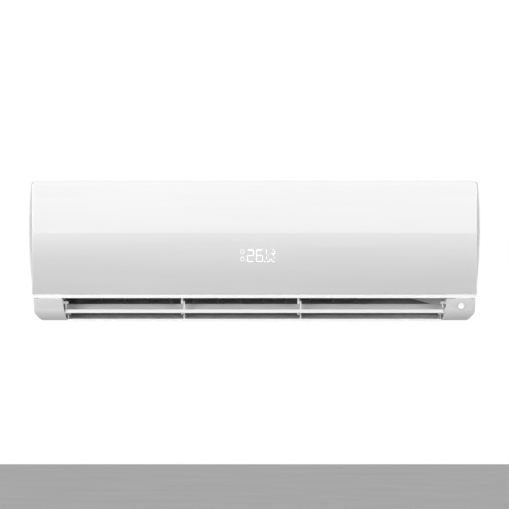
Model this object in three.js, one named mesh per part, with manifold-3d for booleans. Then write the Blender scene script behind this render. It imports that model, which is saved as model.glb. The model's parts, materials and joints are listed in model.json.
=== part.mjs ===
// Wall-hung indoor unit of a split air conditioner, in millimetres.
//
// +X runs to the right as the unit is looked at, +Z is up, and the wall is the plane y = 0,
// so the unit stands out towards -Y. Side sections are drawn as (depth, height), where depth
// is the distance from the wall. The origin is on the back of the wall plate, at mid height.

import * as THREE from 'three';
import { mergeVertices } from 'three/addons/utils/BufferGeometryUtils.js';
import Module from 'manifold-3d';

const wasm = await Module();
wasm.setup();

// ---------------------------------------------------------------- driving dimensions

const GAP = 0.35;               // between pieces that seat against each other
const SKIN = 2.5;               // moulded wall

// Casing, seen from the front
const CASING_TOP = 139.5;
const CASING_FOOT = -139;
const SHOULDER_HALF = 446.5;    // half width under the top corners
const BELLY_CONTROL = 453.5;    // pulls the side out to its widest, 450 at mid height
const WAIST_HALF = 441;         // half width where the outlet section starts
const WAIST_Z = -95;
const FOOT_HALF = 430;
const FOOT_CHAMFER = [10.5, 12.5];

// Casing, seen from the side
const CASING_BACK = 2;
const CASING_FRONT = 186.5;
const CHEEK_TOP = [187, -95];   // the outlet section curves from here under to the lip
const LIP = [118, -139];

// Front panel
const PANEL_HALF = 444;
const PANEL_WALL = 3;
const PANEL_BACK = 188;
const PANEL_BOTTOM = -86;
const PANEL_HINGE = [191.2, 132.8];
const PANEL_HINGES_X = [-330, 0, 330];
const STRIP_HALF = 441;

// Cross-flow fan and the duct that it blows into
const FAN_CENTRE = [88, -2];
const FAN_RADIUS = 48;
const FAN_LEFT = -370;
const FAN_RIGHT = 254;
const BLADES = 20;
const FAN_DISCS = 4;
const DUCT_LEFT = -379.2;
const DUCT_RIGHT = 259;
const OUTLET_HALF_TOP = 385;
const OUTLET_HALF_FOOT = 375.3;
const BRACKET_FACE = 382.6;     // inner faces of the plates that the flaps turn in
const FLOOR_START = [36, -32];  // the duct floor leaves the scroll here
const FLOOR_END = [114, -138];
const NOSE = [132, -33];        // tongue that divides the fan from the duct roof
const ROOF_END = [180.4, -91];
const SPIGOT_AT = [164.6, -55];

// Louvre flaps: pivots, and the turn from shut to the set position
const UPPER_PIVOT = [164.6, -103];
const LOWER_PIVOT = [137.7, -124.6];
const UPPER_OPEN = THREE.MathUtils.degToRad(77);
const LOWER_OPEN = THREE.MathUtils.degToRad(24);
const UPPER_HALF = 378.5;
const LOWER_HALF = 374.8;
const FLAP_THICK = 2.2;         // at the rear edge; the front swells to a blunt nose
const UPPER_NOSE = 7.6;
const LOWER_NOSE = 5;
const HANGERS_X = [-145, 88];

// Vertical vanes, placed along and above the duct floor
const VANE_PITCH = 46.6;
const VANE_AXIS_ALONG = 74;     // pivot's distance down the floor
const VANE_GROUPS = [
  { side: 'left', start: -354.8, count: 7 },
  { side: 'right', start: -28.6, count: 6 },
];

// Coil
const COIL_LEFT = -374;
const COIL_RIGHT = 257;
const SLAB_THICK = 22;
const FIN_PITCH = 24;
const SLABS = {
  coil_front_slab: { from: [163, -41], to: [163, 43] },
  coil_upper_slab: { from: [160.5, 54.5], to: [99.5, 113.5] },
  coil_rear_slab: { from: [80, 109.5], to: [42, 62.5] },
};

// Refrigerant pipes: start at the coil's end, column they come down in, run along the back
const PIPES = {
  gas: {
    radius: 4.8, start: [65, 101.8], column: 278, depth: 21, low: -108, endX: -40, acrossFlats: 22,
  },
  liquid: {
    radius: 3.2, start: [55, 71], column: 275, depth: 33, low: -82, endX: 20, acrossFlats: 17,
  },
};

// Intake in the top, and the two filters that lie in it
const INTAKE = { half: 404, back: 30, front: 160, seat: 134.5, foot: 128 };
const FILTER_SPLIT = 5;
const FILTER_BAYS = 4;
const SLOT_ROWS = 6;
const SLOT_COLUMNS = 5;         // on each side of the middle bar

// ---------------------------------------------------------------- materials

function finish(color, roughness, metalness = 0) {
  return new THREE.MeshStandardMaterial({ color, roughness, metalness });
}

const WHITE_PLASTIC = finish(0xf1f2f2, 0.38);
const PANEL_PLASTIC = finish(0xf3f4f5, 0.22);
const SATIN_STRIP = finish(0xe6e8ea, 0.25, 0.4);
const FLAP_PLASTIC = finish(0xe9ebeb, 0.25);
const DARK_PLASTIC = finish(0x4b4e50, 0.6);
const FAN_PLASTIC = finish(0x3a3d40, 0.55);
const GREY_PLASTIC = finish(0xc9cccd, 0.5);
const NET = finish(0x5d6266, 0.8);
const STEEL = finish(0xb9bdc0, 0.4, 0.9);
const ALUMINIUM = finish(0xc4cacd, 0.35, 0.9);
const COPPER = finish(0xb87346, 0.35, 0.95);
const BRASS = finish(0xc9a552, 0.35, 0.9);
const RUBBER = finish(0x2a2a2b, 0.85);
const BOARD = finish(0x2f6b45, 0.6);
const LENS = finish(0xf6f8fa, 0.12);

// ---------------------------------------------------------------- solids

function toSolid(geometry) {
  geometry.deleteAttribute('normal');
  geometry.deleteAttribute('uv');
  const merged = mergeVertices(geometry, 1e-4);
  return new wasm.Manifold(new wasm.Mesh({
    numProp: 3,
    vertProperties: merged.attributes.position.array,
    triVerts: Uint32Array.from(merged.index.array),
  }));
}

function toGeometry(solid) {
  const { vertProperties, triVerts } = solid.getMesh();
  const geometry = new THREE.BufferGeometry();
  geometry.setAttribute('position', new THREE.BufferAttribute(vertProperties, 3));
  geometry.setIndex(new THREE.BufferAttribute(triVerts, 1));
  geometry.computeVertexNormals();
  return geometry;
}

function join(solids) {
  return solids.reduce((whole, solid) => whole.add(solid));
}

function cut(solid, tools) {
  return tools.reduce((rest, tool) => rest.subtract(tool), solid);
}

function extrude(shape, length, axes, origin, curveSegments = 10) {
  const geometry = new THREE.ExtrudeGeometry(shape, {
    depth: length,
    bevelEnabled: false,
    curveSegments,
  });
  const basis = new THREE.Matrix4().makeBasis(...axes.map((axis) => new THREE.Vector3(...axis)));
  geometry.applyMatrix4(basis.setPosition(...origin));
  return toSolid(geometry);
}

// A side section (depth, height) drawn out from x0 to x1
function acrossX(shape, x0, x1) {
  return extrude(shape, x1 - x0, [[0, -1, 0], [0, 0, 1], [-1, 0, 0]], [x1, 0, 0]);
}

// A front outline (x, height) drawn out from depth d0 to d1
function alongDepth(shape, d0, d1) {
  return extrude(shape, d1 - d0, [[1, 0, 0], [0, 0, 1], [0, -1, 0]], [0, -d0, 0]);
}

// A plan (x, depth) drawn out from height z0 to z1
function upright(shape, z0, z1) {
  return extrude(shape, z1 - z0, [[1, 0, 0], [0, -1, 0], [0, 0, -1]], [0, 0, z1]);
}

function block(x0, x1, d0, d1, z0, z1) {
  const geometry = new THREE.BoxGeometry(x1 - x0, d1 - d0, z1 - z0);
  geometry.translate((x0 + x1) / 2, -(d0 + d1) / 2, (z0 + z1) / 2);
  return toSolid(geometry);
}

// A round bar along X through a side point
function rodX(radius, x0, x1, [depth, height], sides = 12) {
  const geometry = new THREE.CylinderGeometry(radius, radius, x1 - x0, sides);
  geometry.rotateZ(Math.PI / 2);
  geometry.translate((x0 + x1) / 2, -depth, height);
  return toSolid(geometry);
}

function rodDepth(radius, d0, d1, x, z, sides = 16) {
  const geometry = new THREE.CylinderGeometry(radius, radius, d1 - d0, sides);
  geometry.translate(x, -(d0 + d1) / 2, z);
  return toSolid(geometry);
}

function rodZ(radius, z0, z1, x, depth, sides = 10) {
  const geometry = new THREE.CylinderGeometry(radius, radius, z1 - z0, sides);
  geometry.rotateX(Math.PI / 2);
  geometry.translate(x, -depth, (z0 + z1) / 2);
  return toSolid(geometry);
}

// A body of revolution about X: profile points are (radius, distance from x0)
function turnedX(profile, x0, [depth, height], sides) {
  const points = profile.map(([radius, along]) => new THREE.Vector2(radius, along));
  const geometry = new THREE.LatheGeometry(points, sides);
  geometry.rotateZ(-Math.PI / 2);
  geometry.translate(x0, -depth, height);
  return toSolid(geometry);
}

// ---------------------------------------------------------------- outlines

function outline(points) {
  return new THREE.Shape(points.map(([u, v]) => new THREE.Vector2(u, v)));
}

// The points of a path moved sideways, to its left for a positive distance
function offset(path, distance) {
  return path.map(([u, v], i) => {
    const [u0, v0] = path[Math.max(i - 1, 0)];
    const [u1, v1] = path[Math.min(i + 1, path.length - 1)];
    const length = Math.hypot(u1 - u0, v1 - v0);
    return [u - distance * (v1 - v0) / length, v + distance * (u1 - u0) / length];
  });
}

// A wall of even thickness that follows a path, to the path's left
function strip(path, thickness) {
  return outline([...path, ...offset(path, thickness).reverse()]);
}

function bezier(p0, p1, p2, p3, steps, t0 = 0, t1 = 1) {
  const curve = new THREE.CubicBezierCurve(
    ...[p0, p1, p2, p3].map(([u, v]) => new THREE.Vector2(u, v)),
  );
  return Array.from({ length: steps + 1 }, (_, i) => {
    const point = curve.getPoint(t0 + (t1 - t0) * i / steps);
    return [point.x, point.y];
  });
}

function quadratic(p0, p1, p2, steps) {
  const lift = (a, b) => [a[0] + (b[0] - a[0]) * 2 / 3, a[1] + (b[1] - a[1]) * 2 / 3];
  return bezier(p0, lift(p0, p1), lift(p2, p1), p2, steps);
}

// The curve of the outlet section, from the trim strip round under to the lip
function cheekCurve(steps, t0 = 0, t1 = 1) {
  return bezier(CHEEK_TOP, [187, -122], [165, -138.5], LIP, steps, t0, t1);
}

// The bowed face of the front panel, from its top edge down, with a soft crease
function panelCurve() {
  const crown = quadratic([190.5, 140.5], [199.2, 140.5], [199.8, 126], 4);
  const upper = quadratic([199.8, 126], [204.2, 82], [205, 38], 4);
  const lower = quadratic([205, 38], [202.6, -20], [189.5, PANEL_BOTTOM], 6);
  return [...crown, ...upper.slice(1), ...lower.slice(1)];
}

// ---------------------------------------------------------------- casing

function frontOutline(inset) {
  const foot = CASING_FOOT + inset;
  const top = CASING_TOP - inset;
  const [wide, high] = FOOT_CHAMFER;
  const shape = new THREE.Shape();
  shape.moveTo(-FOOT_HALF + inset, foot);
  shape.lineTo(FOOT_HALF - inset, foot);
  shape.lineTo(FOOT_HALF + wide - inset, foot + high);
  shape.lineTo(WAIST_HALF - inset, WAIST_Z);
  shape.quadraticCurveTo(BELLY_CONTROL + 2.5 - inset, 20, SHOULDER_HALF - inset, top - 7);
  shape.quadraticCurveTo(SHOULDER_HALF - inset, top, SHOULDER_HALF - 7 - inset, top);
  shape.lineTo(-SHOULDER_HALF + 7 + inset, top);
  shape.quadraticCurveTo(-SHOULDER_HALF + inset, top, -SHOULDER_HALF + inset, top - 7);
  shape.quadraticCurveTo(-BELLY_CONTROL - 2.5 + inset, 20, -WAIST_HALF + inset, WAIST_Z);
  shape.lineTo(-FOOT_HALF - wide + inset, foot + high);
  shape.lineTo(-FOOT_HALF + inset, foot);
  return shape;
}

// Side section of the casing, with the recess behind the trim strip
function sideOutline(inset, back) {
  const cheek = offset(cheekCurve(8), -inset).reverse();
  const front = CASING_FRONT - inset;
  const recess = front - 3.2;
  return outline([
    [back, CASING_FOOT + inset],
    ...cheek,
    [recess, WAIST_Z + 0.2],
    [recess, PANEL_BOTTOM + 0.4 + inset],
    [front, PANEL_BOTTOM + 0.4 + inset],
    [front, 132 - inset],
    [182.6 - inset, 135.5],
    [182.6 - inset, CASING_TOP - inset],
    [back, CASING_TOP - inset],
  ]);
}

function casingShell() {
  const outer = acrossX(sideOutline(0, CASING_BACK), -470, 470)
    .intersect(alongDepth(frontOutline(0), 0, 200));
  const hollow = acrossX(sideOutline(SKIN, CASING_BACK - 5), -470, 470)
    .intersect(alongDepth(frontOutline(SKIN), -10, 210));
  return outer.subtract(hollow);
}

// The intake: a seat for the filters, with finger-safe slots under them
function intakeCuts() {
  const { half, back, front, seat, foot } = INTAKE;
  const cuts = [block(-half, half, back, front, seat, CASING_TOP + 1)];
  const width = (half - FILTER_SPLIT) / SLOT_COLUMNS;
  const pitch = (front - back - 4) / SLOT_ROWS;
  for (let column = -SLOT_COLUMNS; column < SLOT_COLUMNS; column += 1) {
    const x = column * width + (column < 0 ? -FILTER_SPLIT : FILTER_SPLIT);
    for (let row = 0; row < SLOT_ROWS; row += 1) {
      const d = back + 2 + pitch * row;
      cuts.push(block(x + 2.5, x + width - 2.5, d + 2, d + pitch - 2, foot - 1, seat + 1));
    }
  }
  return cuts;
}

// Ears that carry the panel's hinge pins
function casingEar(x) {
  const web = outline([
    [CASING_FRONT - 1, 112], [CASING_FRONT - 1, 126], [187.8, 132.8], [191.2, 132.8], [193.6, 130],
  ]);
  const ear = acrossX(web, x - 2, x + 2).add(rodX(3.6, x - 2, x + 2, PANEL_HINGE, 14));
  return ear.subtract(rodX(2.6, x - 3, x + 3, PANEL_HINGE));
}

// The outlet in front view, narrowed by a clearance at each side
function outletOutline(clearance) {
  const top = OUTLET_HALF_TOP - clearance;
  const foot = OUTLET_HALF_FOOT - clearance;
  return outline([
    [-top, WAIST_Z + 0.3], [-foot, CASING_FOOT - 2], [foot, CASING_FOOT - 2], [top, WAIST_Z + 0.3],
  ]);
}

function frontFrame() {
  const { half, back, front, foot } = INTAKE;
  const tray = block(-half - 4, half + 4, back - 4, front + 4, foot, CASING_TOP - 0.5);
  const windows = [[-395, -170], [-160, 60], [70, 300]].map(
    ([x0, x1]) => block(x0, x1, 178, 192, -28, 108),
  );
  const body = casingShell().add(tray);
  return cut(body, [
    ...intakeCuts(),
    ...windows,
    alongDepth(outletOutline(0), 40, 200),
    receiverPlug(GAP),
    rodDepth(5.4, 178, 192, BUTTON_AT[0], BUTTON_AT[1]),
  ]).add(join(PANEL_HINGES_X.map(casingEar)));
}

// Openings of the coarse mesh in one bay of a filter: three across and two deep
function meshOpenings(x0, x1, d0, d1, height) {
  const wide = (x1 - x0) / 3;
  const deep = (d1 - d0) / 2;
  return [0, 1, 2].flatMap((i) => [0, 1].map((j) => block(
    x0 + wide * i + 0.8, x0 + wide * (i + 1) - 0.8, d0 + deep * j + 0.8, d0 + deep * (j + 1) - 0.8,
    height - 1, height + 1,
  )));
}

// A filter: a moulded frame in bays, each closed by a mesh half way up
function airFilter(side) {
  const { half, back, front, seat } = INTAKE;
  const x0 = FILTER_SPLIT / 2;
  const x1 = half - GAP;
  const place = (a, b) => (side > 0 ? [a, b] : [-b, -a]);
  const foot = seat + GAP;
  const top = CASING_TOP - 0.4;
  const sheet = (foot + top) / 2;
  const pitch = (x1 - x0 - 6) / FILTER_BAYS;
  const cuts = [];
  for (let i = 0; i < FILTER_BAYS; i += 1) {
    for (const [d0, d1] of [[back + 6, 93.5], [96.5, front - 6]]) {
      const [a, b] = place(x0 + 6 + pitch * i, x0 + pitch * (i + 1) + 3);
      cuts.push(block(a, b, d0, d1, sheet + 0.4, top + 1));
      cuts.push(block(a, b, d0, d1, foot - 1, sheet - 0.4));
      cuts.push(...meshOpenings(a, b, d0, d1, sheet));
    }
  }
  const grip = (x0 + x1) / 2;
  const [g0, g1] = place(grip - 24, grip + 24);
  return cut(block(...place(x0, x1), back + GAP, front - GAP, foot, top), cuts)
    .add(block(g0, g1, front - 5, front - GAP, top - 1, top + 1.2));
}

// ---------------------------------------------------------------- front panel

function panelEar(x) {
  const web = outline([[190.6, 139], [188, 132.8], [194.4, 132.8], [197, 136.5], [195, 139]]);
  return acrossX(web, x - 1.5, x + 1.5).add(rodX(3.2, x - 1.5, x + 1.5, PANEL_HINGE, 12));
}

function frontPanel() {
  const face = panelCurve();
  const backEdge = [[PANEL_BACK, PANEL_BOTTOM], [PANEL_BACK, 126], [190.5, 126]];
  const section = outline([...face, ...backEdge]);
  const wall = acrossX(strip(face, -PANEL_WALL), -PANEL_HALF, PANEL_HALF);
  const sides = [[-PANEL_HALF, -PANEL_HALF + PANEL_WALL], [PANEL_HALF - PANEL_WALL, PANEL_HALF]];
  const corners = new THREE.Shape();
  corners.moveTo(-PANEL_HALF, -100);
  corners.lineTo(PANEL_HALF, -100);
  corners.lineTo(PANEL_HALF, 133);
  corners.quadraticCurveTo(PANEL_HALF, 141, PANEL_HALF - 8, 141);
  corners.lineTo(-PANEL_HALF + 8, 141);
  corners.quadraticCurveTo(-PANEL_HALF, 141, -PANEL_HALF, 133);
  const footWall = block(-PANEL_HALF, PANEL_HALF, PANEL_BACK, 191, PANEL_BOTTOM, PANEL_BOTTOM + 2.5);
  const body = join([wall, ...sides.map(([x0, x1]) => acrossX(section, x0, x1)), footWall])
    .intersect(acrossX(section, -PANEL_HALF, PANEL_HALF))
    .intersect(alongDepth(corners, 150, 250));
  const ears = PANEL_HINGES_X.flatMap((x) => [
    panelEar(x - 4.2),
    panelEar(x + 4.2),
    rodX(2.1, x - 4.2, x + 4.2, PANEL_HINGE),
  ]);
  return join([body, ...ears]);
}

// The bright strip under the panel, with its upper edge turned to the light
function trimStrip() {
  const top = PANEL_BOTTOM - GAP;
  const section = outline([
    [184.2, top], [189.2, top], [191.4, -89.4], [191.6, -92.4], [190.4, -94.1], [184.2, -94.1],
  ]);
  return acrossX(section, -STRIP_HALF, STRIP_HALF);
}

function displayBoard() {
  const board = block(-24, 38, 189.6, 191.2, -32, 16);
  const screen = block(-17, 31, 191, 195.6, -24, 6);
  const posts = [[-20, -28], [34, -28], [-20, 12], [34, 12]].map(
    ([x, z]) => rodDepth(2, 191, z > 0 ? 199.4 : 195.4, x, z, 6),
  );
  return join([board, screen, ...posts]);
}

// ---------------------------------------------------------------- receiver and button

const RECEIVER_AT = [413, -110];
const BUTTON_AT = [405, -58];

// Oval that follows the curve of the right end piece
function receiverPlug(clearance) {
  const oval = new THREE.Shape();
  oval.absellipse(...RECEIVER_AT, 10 + clearance, 6.5 + clearance, 0, Math.PI * 2);
  const proud = offset(cheekCurve(8, 0, 0.5), 0.6 + clearance * 10);
  const skin = acrossX(strip(proud, -(3.6 + clearance * 20)), 395, 430);
  return alongDepth(oval, 170, 195).intersect(skin);
}

function autoButton() {
  const cap = rodDepth(5, 179.4, 188, 0, 0);
  const flange = rodDepth(6.6, 180.6, 182.6, 0, 0);
  return cap.add(flange);
}

function buttonSwitch() {
  const [x, z] = BUTTON_AT;
  const board = block(x - 16, x + 16, 170, 171.6, z - 12, z + 12);
  const body = block(x - 4, x + 4, 171.5, 176, z - 4, z + 4);
  const posts = [[-13, -9], [13, -9], [-13, 9], [13, 9]].map(
    ([dx, dz]) => rodDepth(1.8, 171.5, CASING_FRONT - SKIN - GAP, x + dx, z + dz, 8),
  );
  return join([board, body, ...posts]);
}

// ---------------------------------------------------------------- chassis and duct

function scrollPath() {
  const [d, z] = FAN_CENTRE;
  const start = Math.atan2(FLOOR_START[1] - z, FLOOR_START[0] - d);
  const arc = Array.from({ length: 8 }, (_, i) => {
    const angle = start - THREE.MathUtils.degToRad(i * 9.5);
    const radius = 60 - i * 0.8;
    return [d + radius * Math.cos(angle), z + radius * Math.sin(angle)];
  });
  return [FLOOR_END, ...arc, [44, 44]];
}

// Side wall of the fan space. It carries the coil's end plate on its upper edge; a whole one
// also closes the duct down to the outlet.
function endPlate(x0, x1, whole) {
  const upper = [
    [12, -61], [12, 42], [42, 44], [50, 54], [86, 99], [93, 103], [151, 47.5], [151, -26],
    [129, -26], [128, -33.5],
  ];
  const duct = [[172, -91], [113, -135], [110, -135]];
  const fanOnly = [[68, -77], [64, -76]];
  return acrossX(outline([...upper, ...(whole ? duct : fanOnly), [34, -34]]), x0, x1);
}

// Wall that leads the air from the fan's right end out to the wider outlet
function guideWall() {
  const plan = outline([
    [DUCT_RIGHT + 0.6, 59], [DUCT_RIGHT + 3, 55.8], [383.2, 98.4], [383.2, 102], [379, 101.5],
  ]);
  const wall = upright(plan, GAP, 76.3);
  return wall.rotate([DUCT_TILT, 0, 0]).translate([0, -FLOOR_START[0], FLOOR_START[1]]);
}

function chassisHook(x) {
  const arm = block(x - 18, x + 18, 2.6, 12, 124, 128);
  const lip = block(x - 18, x + 18, 2.6, 4.8, 114, 126);
  return arm.add(lip);
}

// Cradle that the fan motor sits in
function motorSaddle(x0, x1) {
  const [d, z] = FAN_CENTRE;
  return block(x0, x1, 12, d - 6, z - 56, z + 56)
    .subtract(rodX(MOTOR_RADIUS + GAP * 2, x0 - 1, x1 + 1, FAN_CENTRE, 20));
}

const FLOOR_RUN = [FLOOR_END[0] - FLOOR_START[0], FLOOR_END[1] - FLOOR_START[1]];
const FLOOR_LENGTH = Math.hypot(...FLOOR_RUN);
const DUCT_TILT = THREE.MathUtils.radToDeg(Math.atan2(-FLOOR_RUN[1], FLOOR_RUN[0]));

function rearChassis() {
  const back = alongDepth(frontOutline(SKIN + GAP), 10, 13)
    .subtract(block(-470, 470, 0, 20, -150, -62));
  const scroll = acrossX(strip(scrollPath(), 3), DUCT_LEFT - 3, DUCT_RIGHT + 3);
  const flareFloor = acrossX(strip([FLOOR_END, [67, -74]], 3), DUCT_RIGHT, 382);
  const shelf = block(DUCT_LEFT - 3, DUCT_RIGHT + 3, 12, 45, 41, 44);
  const ceiling = block(-436, DUCT_RIGHT + 3, 12, 52, -62, -59.5);
  const base = block(-374, 374, 41, 113, CASING_FOOT, CASING_FOOT + SKIN);
  const ribs = [-250, -90, 90, 250].map((x) => acrossX(
    outline([[34, -61], [50, -61], [108, -138], [88, -138]]), x - 1.5, x + 1.5,
  ));
  const body = join([
    back, scroll, flareFloor, shelf, ceiling, base, ...ribs,
    endPlate(DUCT_LEFT - 3, DUCT_LEFT, true),
    endPlate(DUCT_RIGHT, DUCT_RIGHT + 3, false),
    motorSaddle(286, 291),
    motorSaddle(320, 325),
    ...[-250, 0, 250].map(chassisHook),
  ]);
  return cut(body, [
    rodX(17, DUCT_LEFT - 4, DUCT_LEFT + 1, FAN_CENTRE, 16),
    rodX(14, DUCT_RIGHT - 1, DUCT_RIGHT + 4, FAN_CENTRE, 16),
    ...vaneMotorHoles(),
    block(-390, -374.8, 0, 200, -145, -136.1),
    block(374.8, 390, 0, 200, -145, -136.1),
    block(-390, 390, 0, 200, -145, CASING_FOOT),
  ]);
}

// Drip tray under the front of the coil. Its underside is the roof of the duct, and goes on
// past the coil to the outlet's right end without the trough.
function drainPan() {
  const foot = [ROOF_END, [176, -90.6]];
  const tray = outline([
    NOSE, [138, -28.5], [147, -38], [150, -52], [175, -70], [177.6, -68], [177.6, -36],
    [180.4, -36], ...foot,
  ]);
  const roof = outline([
    NOSE, [134.3, -31.1], [177.6, -83], [177.6, -74], [180.4, -74], ...foot,
  ]);
  const trough = outline([[146, -42], [149, -54], [175, -72], [179, -70], [179, -42]]);
  const spigots = [[-399, -376], [260, 279]].map(([x0, x1]) => rodX(7.6, x0, x1, SPIGOT_AT));
  const bores = [[-400, -374], [258, 280]].map(([x0, x1]) => rodX(5.6, x0, x1, SPIGOT_AT));
  return cut(join([
    acrossX(tray, -377.2, 261.4),
    acrossX(roof, 261, 382),
    acrossX(trough, -377.2, -375),
    acrossX(trough, 259.2, 261.4),
    ...spigots,
  ]), bores);
}

function drainPlug() {
  return turnedX([[0, 0], [5, 0], [5, 11.4], [7.2, 11.4], [6.4, 15], [0, 15]], 268, SPIGOT_AT, 12);
}

// ---------------------------------------------------------------- fan and motor

const MOTOR_RADIUS = 41;
const SHAFT_RADIUS = 4;

// One forward-curved blade, as a side section at the fan's rim
function bladeOutline() {
  const inner = 35.5;
  const outer = FAN_RADIUS - 1;
  const rim = (radius, degrees) => {
    const angle = THREE.MathUtils.degToRad(degrees);
    return [radius * Math.cos(angle), radius * Math.sin(angle)];
  };
  const middle = (inner + outer) / 2;
  return outline([rim(inner, 0), rim(middle, -4), rim(outer, 3), rim(middle, 0)]);
}

function crossflowFan() {
  const parts = [];
  for (let i = 0; i < BLADES; i += 1) {
    const blade = acrossX(bladeOutline(), FAN_LEFT + 1, FAN_RIGHT - 1);
    parts.push(blade.rotate([360 * i / BLADES, 0, 0]));
  }
  for (let i = 0; i < FAN_DISCS; i += 1) {
    const x = FAN_LEFT + (FAN_RIGHT - FAN_LEFT - 3) * i / (FAN_DISCS - 1);
    const disc = rodX(FAN_RADIUS, x, x + 3, [0, 0], BLADES * 2);
    const solidEnd = i === 0 || i === FAN_DISCS - 1;
    parts.push(solidEnd ? disc : disc.subtract(rodX(33, x - 1, x + 4, [0, 0], BLADES)));
  }
  parts.push(rodX(SHAFT_RADIUS, FAN_LEFT - 16, FAN_LEFT + 1, [0, 0], 16));
  parts.push(rodX(14, FAN_RIGHT - 26, FAN_RIGHT, [0, 0], 20));
  const socket = rodX(SHAFT_RADIUS + GAP, FAN_RIGHT - 22, FAN_RIGHT + 1, [0, 0], 16);
  return join(parts).subtract(socket);
}

function motorShaft() {
  return rodX(SHAFT_RADIUS, FAN_RIGHT - 20, 296, [0, 0], 16);
}

function fanMotor() {
  const bore = SHAFT_RADIUS + GAP * 1.4;
  const profile = [
    [0, 26], [bore, 26], [bore, 0], [17, 0], [17, 7], [37, 9], [MOTOR_RADIUS, 13],
    [MOTOR_RADIUS, 55], [37, 59], [17, 61], [17, 68], [0, 68],
  ];
  return turnedX(profile, 271, FAN_CENTRE, 18);
}

// Half-round cover that holds the motor in its cradle
function motorClamp(x0, x1) {
  const [d, z] = FAN_CENTRE;
  const rim = MOTOR_RADIUS + 3.4;
  const band = rodX(rim, x0, x1, FAN_CENTRE, 28)
    .subtract(rodX(MOTOR_RADIUS + GAP * 2, x0 - 1, x1 + 1, FAN_CENTRE, 28));
  const half = band.subtract(block(x0 - 1, x1 + 1, 0, d - 5, -200, 200));
  const tabs = [1, -1].map((side) => {
    const z0 = side > 0 ? z + 42 : z - 56;
    return block(x0, x1, d - 5.6, d - 1, z0, z0 + 14);
  });
  return join([half, ...tabs]);
}

function fanBearing() {
  const profile = [
    [SHAFT_RADIUS + GAP, 0], [16.4, 0], [16.4, 4], [19, 5], [19, 9], [9, 11], [SHAFT_RADIUS + GAP, 11],
    [SHAFT_RADIUS + GAP, 0],
  ];
  return turnedX(profile.reverse().map(([r, a]) => [r, 11 - a]), DUCT_LEFT - 12, FAN_CENTRE, 16);
}

// ---------------------------------------------------------------- louvre flaps

function flapEar(x0, x1, foot, radius) {
  const spread = 5;
  const web = outline([
    [-radius, 0], [foot[0] - spread, foot[1]], [foot[0] + spread, foot[1]], [radius, 0],
  ]);
  return acrossX(web, x0, x1).add(rodX(radius, x0, x1, [0, 0], 8));
}

// The two points that take the corner off between its neighbours
function blunted(before, corner, after, size) {
  return [before, after].map((end) => {
    const run = [end[0] - corner[0], end[1] - corner[1]];
    const share = size / Math.hypot(...run);
    return [corner[0] + run[0] * share, corner[1] + run[1] * share];
  });
}

// Section of a shut flap: its outer face follows the casing, its inner face swells to the nose
function flapSection(t0, t1, nose) {
  const steps = 7;
  const outer = cheekCurve(steps, t0, t1);
  const inwards = offset(outer, -1);
  const inner = outer.map(([u, v], i) => {
    const thick = FLAP_THICK + (nose - FLAP_THICK) * (1 - i / steps) ** 1.6;
    return [u + (inwards[i][0] - u) * thick, v + (inwards[i][1] - v) * thick];
  });
  return outline([
    ...blunted(inner[0], outer[0], outer[1], 1.4), ...outer.slice(1), ...inner.slice(1).reverse(),
    ...blunted(inner[1], inner[0], outer[0], 2),
  ]);
}

// A flap drawn shut, about its own pivot: blade, ears at the hangers and pins at the ends
function flap(t0, t1, nose, half, pivot, foot) {
  const blade = acrossX(flapSection(t0, t1, nose), -half, half)
    .intersect(alongDepth(outletOutline(1.5), 40, 200))
    .translate([0, pivot[0], -pivot[1]]);
  const ends = [-half, half - 3].map((x) => flapEar(x, x + 3, foot, 4.2));
  const middles = HANGERS_X.map((x) => flapEar(x + 2.8, x + 5.8, foot, 3.6));
  const pins = HANGERS_X.map((x) => rodX(2.1, x - 2.4, x + 3, [0, 0], 8));
  const reach = BRACKET_FACE + 2.9;
  const trunnions = [[-reach, -half + 6.5], [half - 6.5, reach]].map(
    ([x0, x1]) => rodX(3.4, x0, x1, [0, 0], 10),
  );
  return join([blade, ...ends, ...middles, ...pins, ...trunnions]);
}

// Bracket with two prongs that reaches down from the roof to both flap pivots
function flapHanger(x) {
  const plate = (shape) => acrossX(shape, x - 2, x + 2);
  const bar = outline([[124, -50], [133, -35], [173.6, -88.2], [160, -82], [146, -66], [133, -54]]);
  const front = outline([[158, -76], [170, -84.4], [168.6, -103], [160.6, -103]]);
  const rear = outline([
    [124, -50], [134.5, -46], [134.5, -88], [132.4, -112], [141.7, -124.6], [133.7, -124.6],
    [125.5, -114],
  ]);
  const knuckles = [UPPER_PIVOT, LOWER_PIVOT].map((at) => rodX(4, x - 2, x + 2, at, 10));
  const holes = [UPPER_PIVOT, LOWER_PIVOT].map((at) => rodX(2.7, x - 3, x + 3, at, 8));
  return cut(join([plate(bar), plate(front), plate(rear), ...knuckles]), holes);
}

// End plate of the outlet, with bearings for both flaps. The right one also carries the guide wall.
function flapBracket(side) {
  const [x0, x1] = side > 0 ? [BRACKET_FACE, BRACKET_FACE + 3] : [-BRACKET_FACE - 3, -BRACKET_FACE];
  const shape = outline([
    [150, -57.2], [177, -92.2], [181.5, -96.5], [180.4, -110], [168, -122.5], [151, -130],
    [120, -134], [112.5, -130], [99.5, -112],
  ]);
  const plate = cut(acrossX(shape, x0, x1), [UPPER_PIVOT, LOWER_PIVOT].map(
    (at) => rodX(3.9, x0 - 1, x1 + 1, at),
  ));
  return side > 0 ? plate.add(guideWall()) : plate;
}

function flapMotor(at, radius) {
  const face = BRACKET_FACE + 3 + GAP;
  const reach = radius + 3;
  const can = rodX(radius, face, face + 16, at, 16);
  const ears = block(face, face + 1.2, at[0] - reach, at[0] + reach, at[1] - 3, at[1] + 3);
  const cap = block(face + 3, face + 14, at[0] - reach, at[0], at[1] - 5, at[1] + 5);
  return join([can, ears, cap]);
}

// ---------------------------------------------------------------- vertical vanes

const RAIL_TOP = 4.2;
const TIE_ALONG = 15;
const TIE_LOW = 13;

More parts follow.
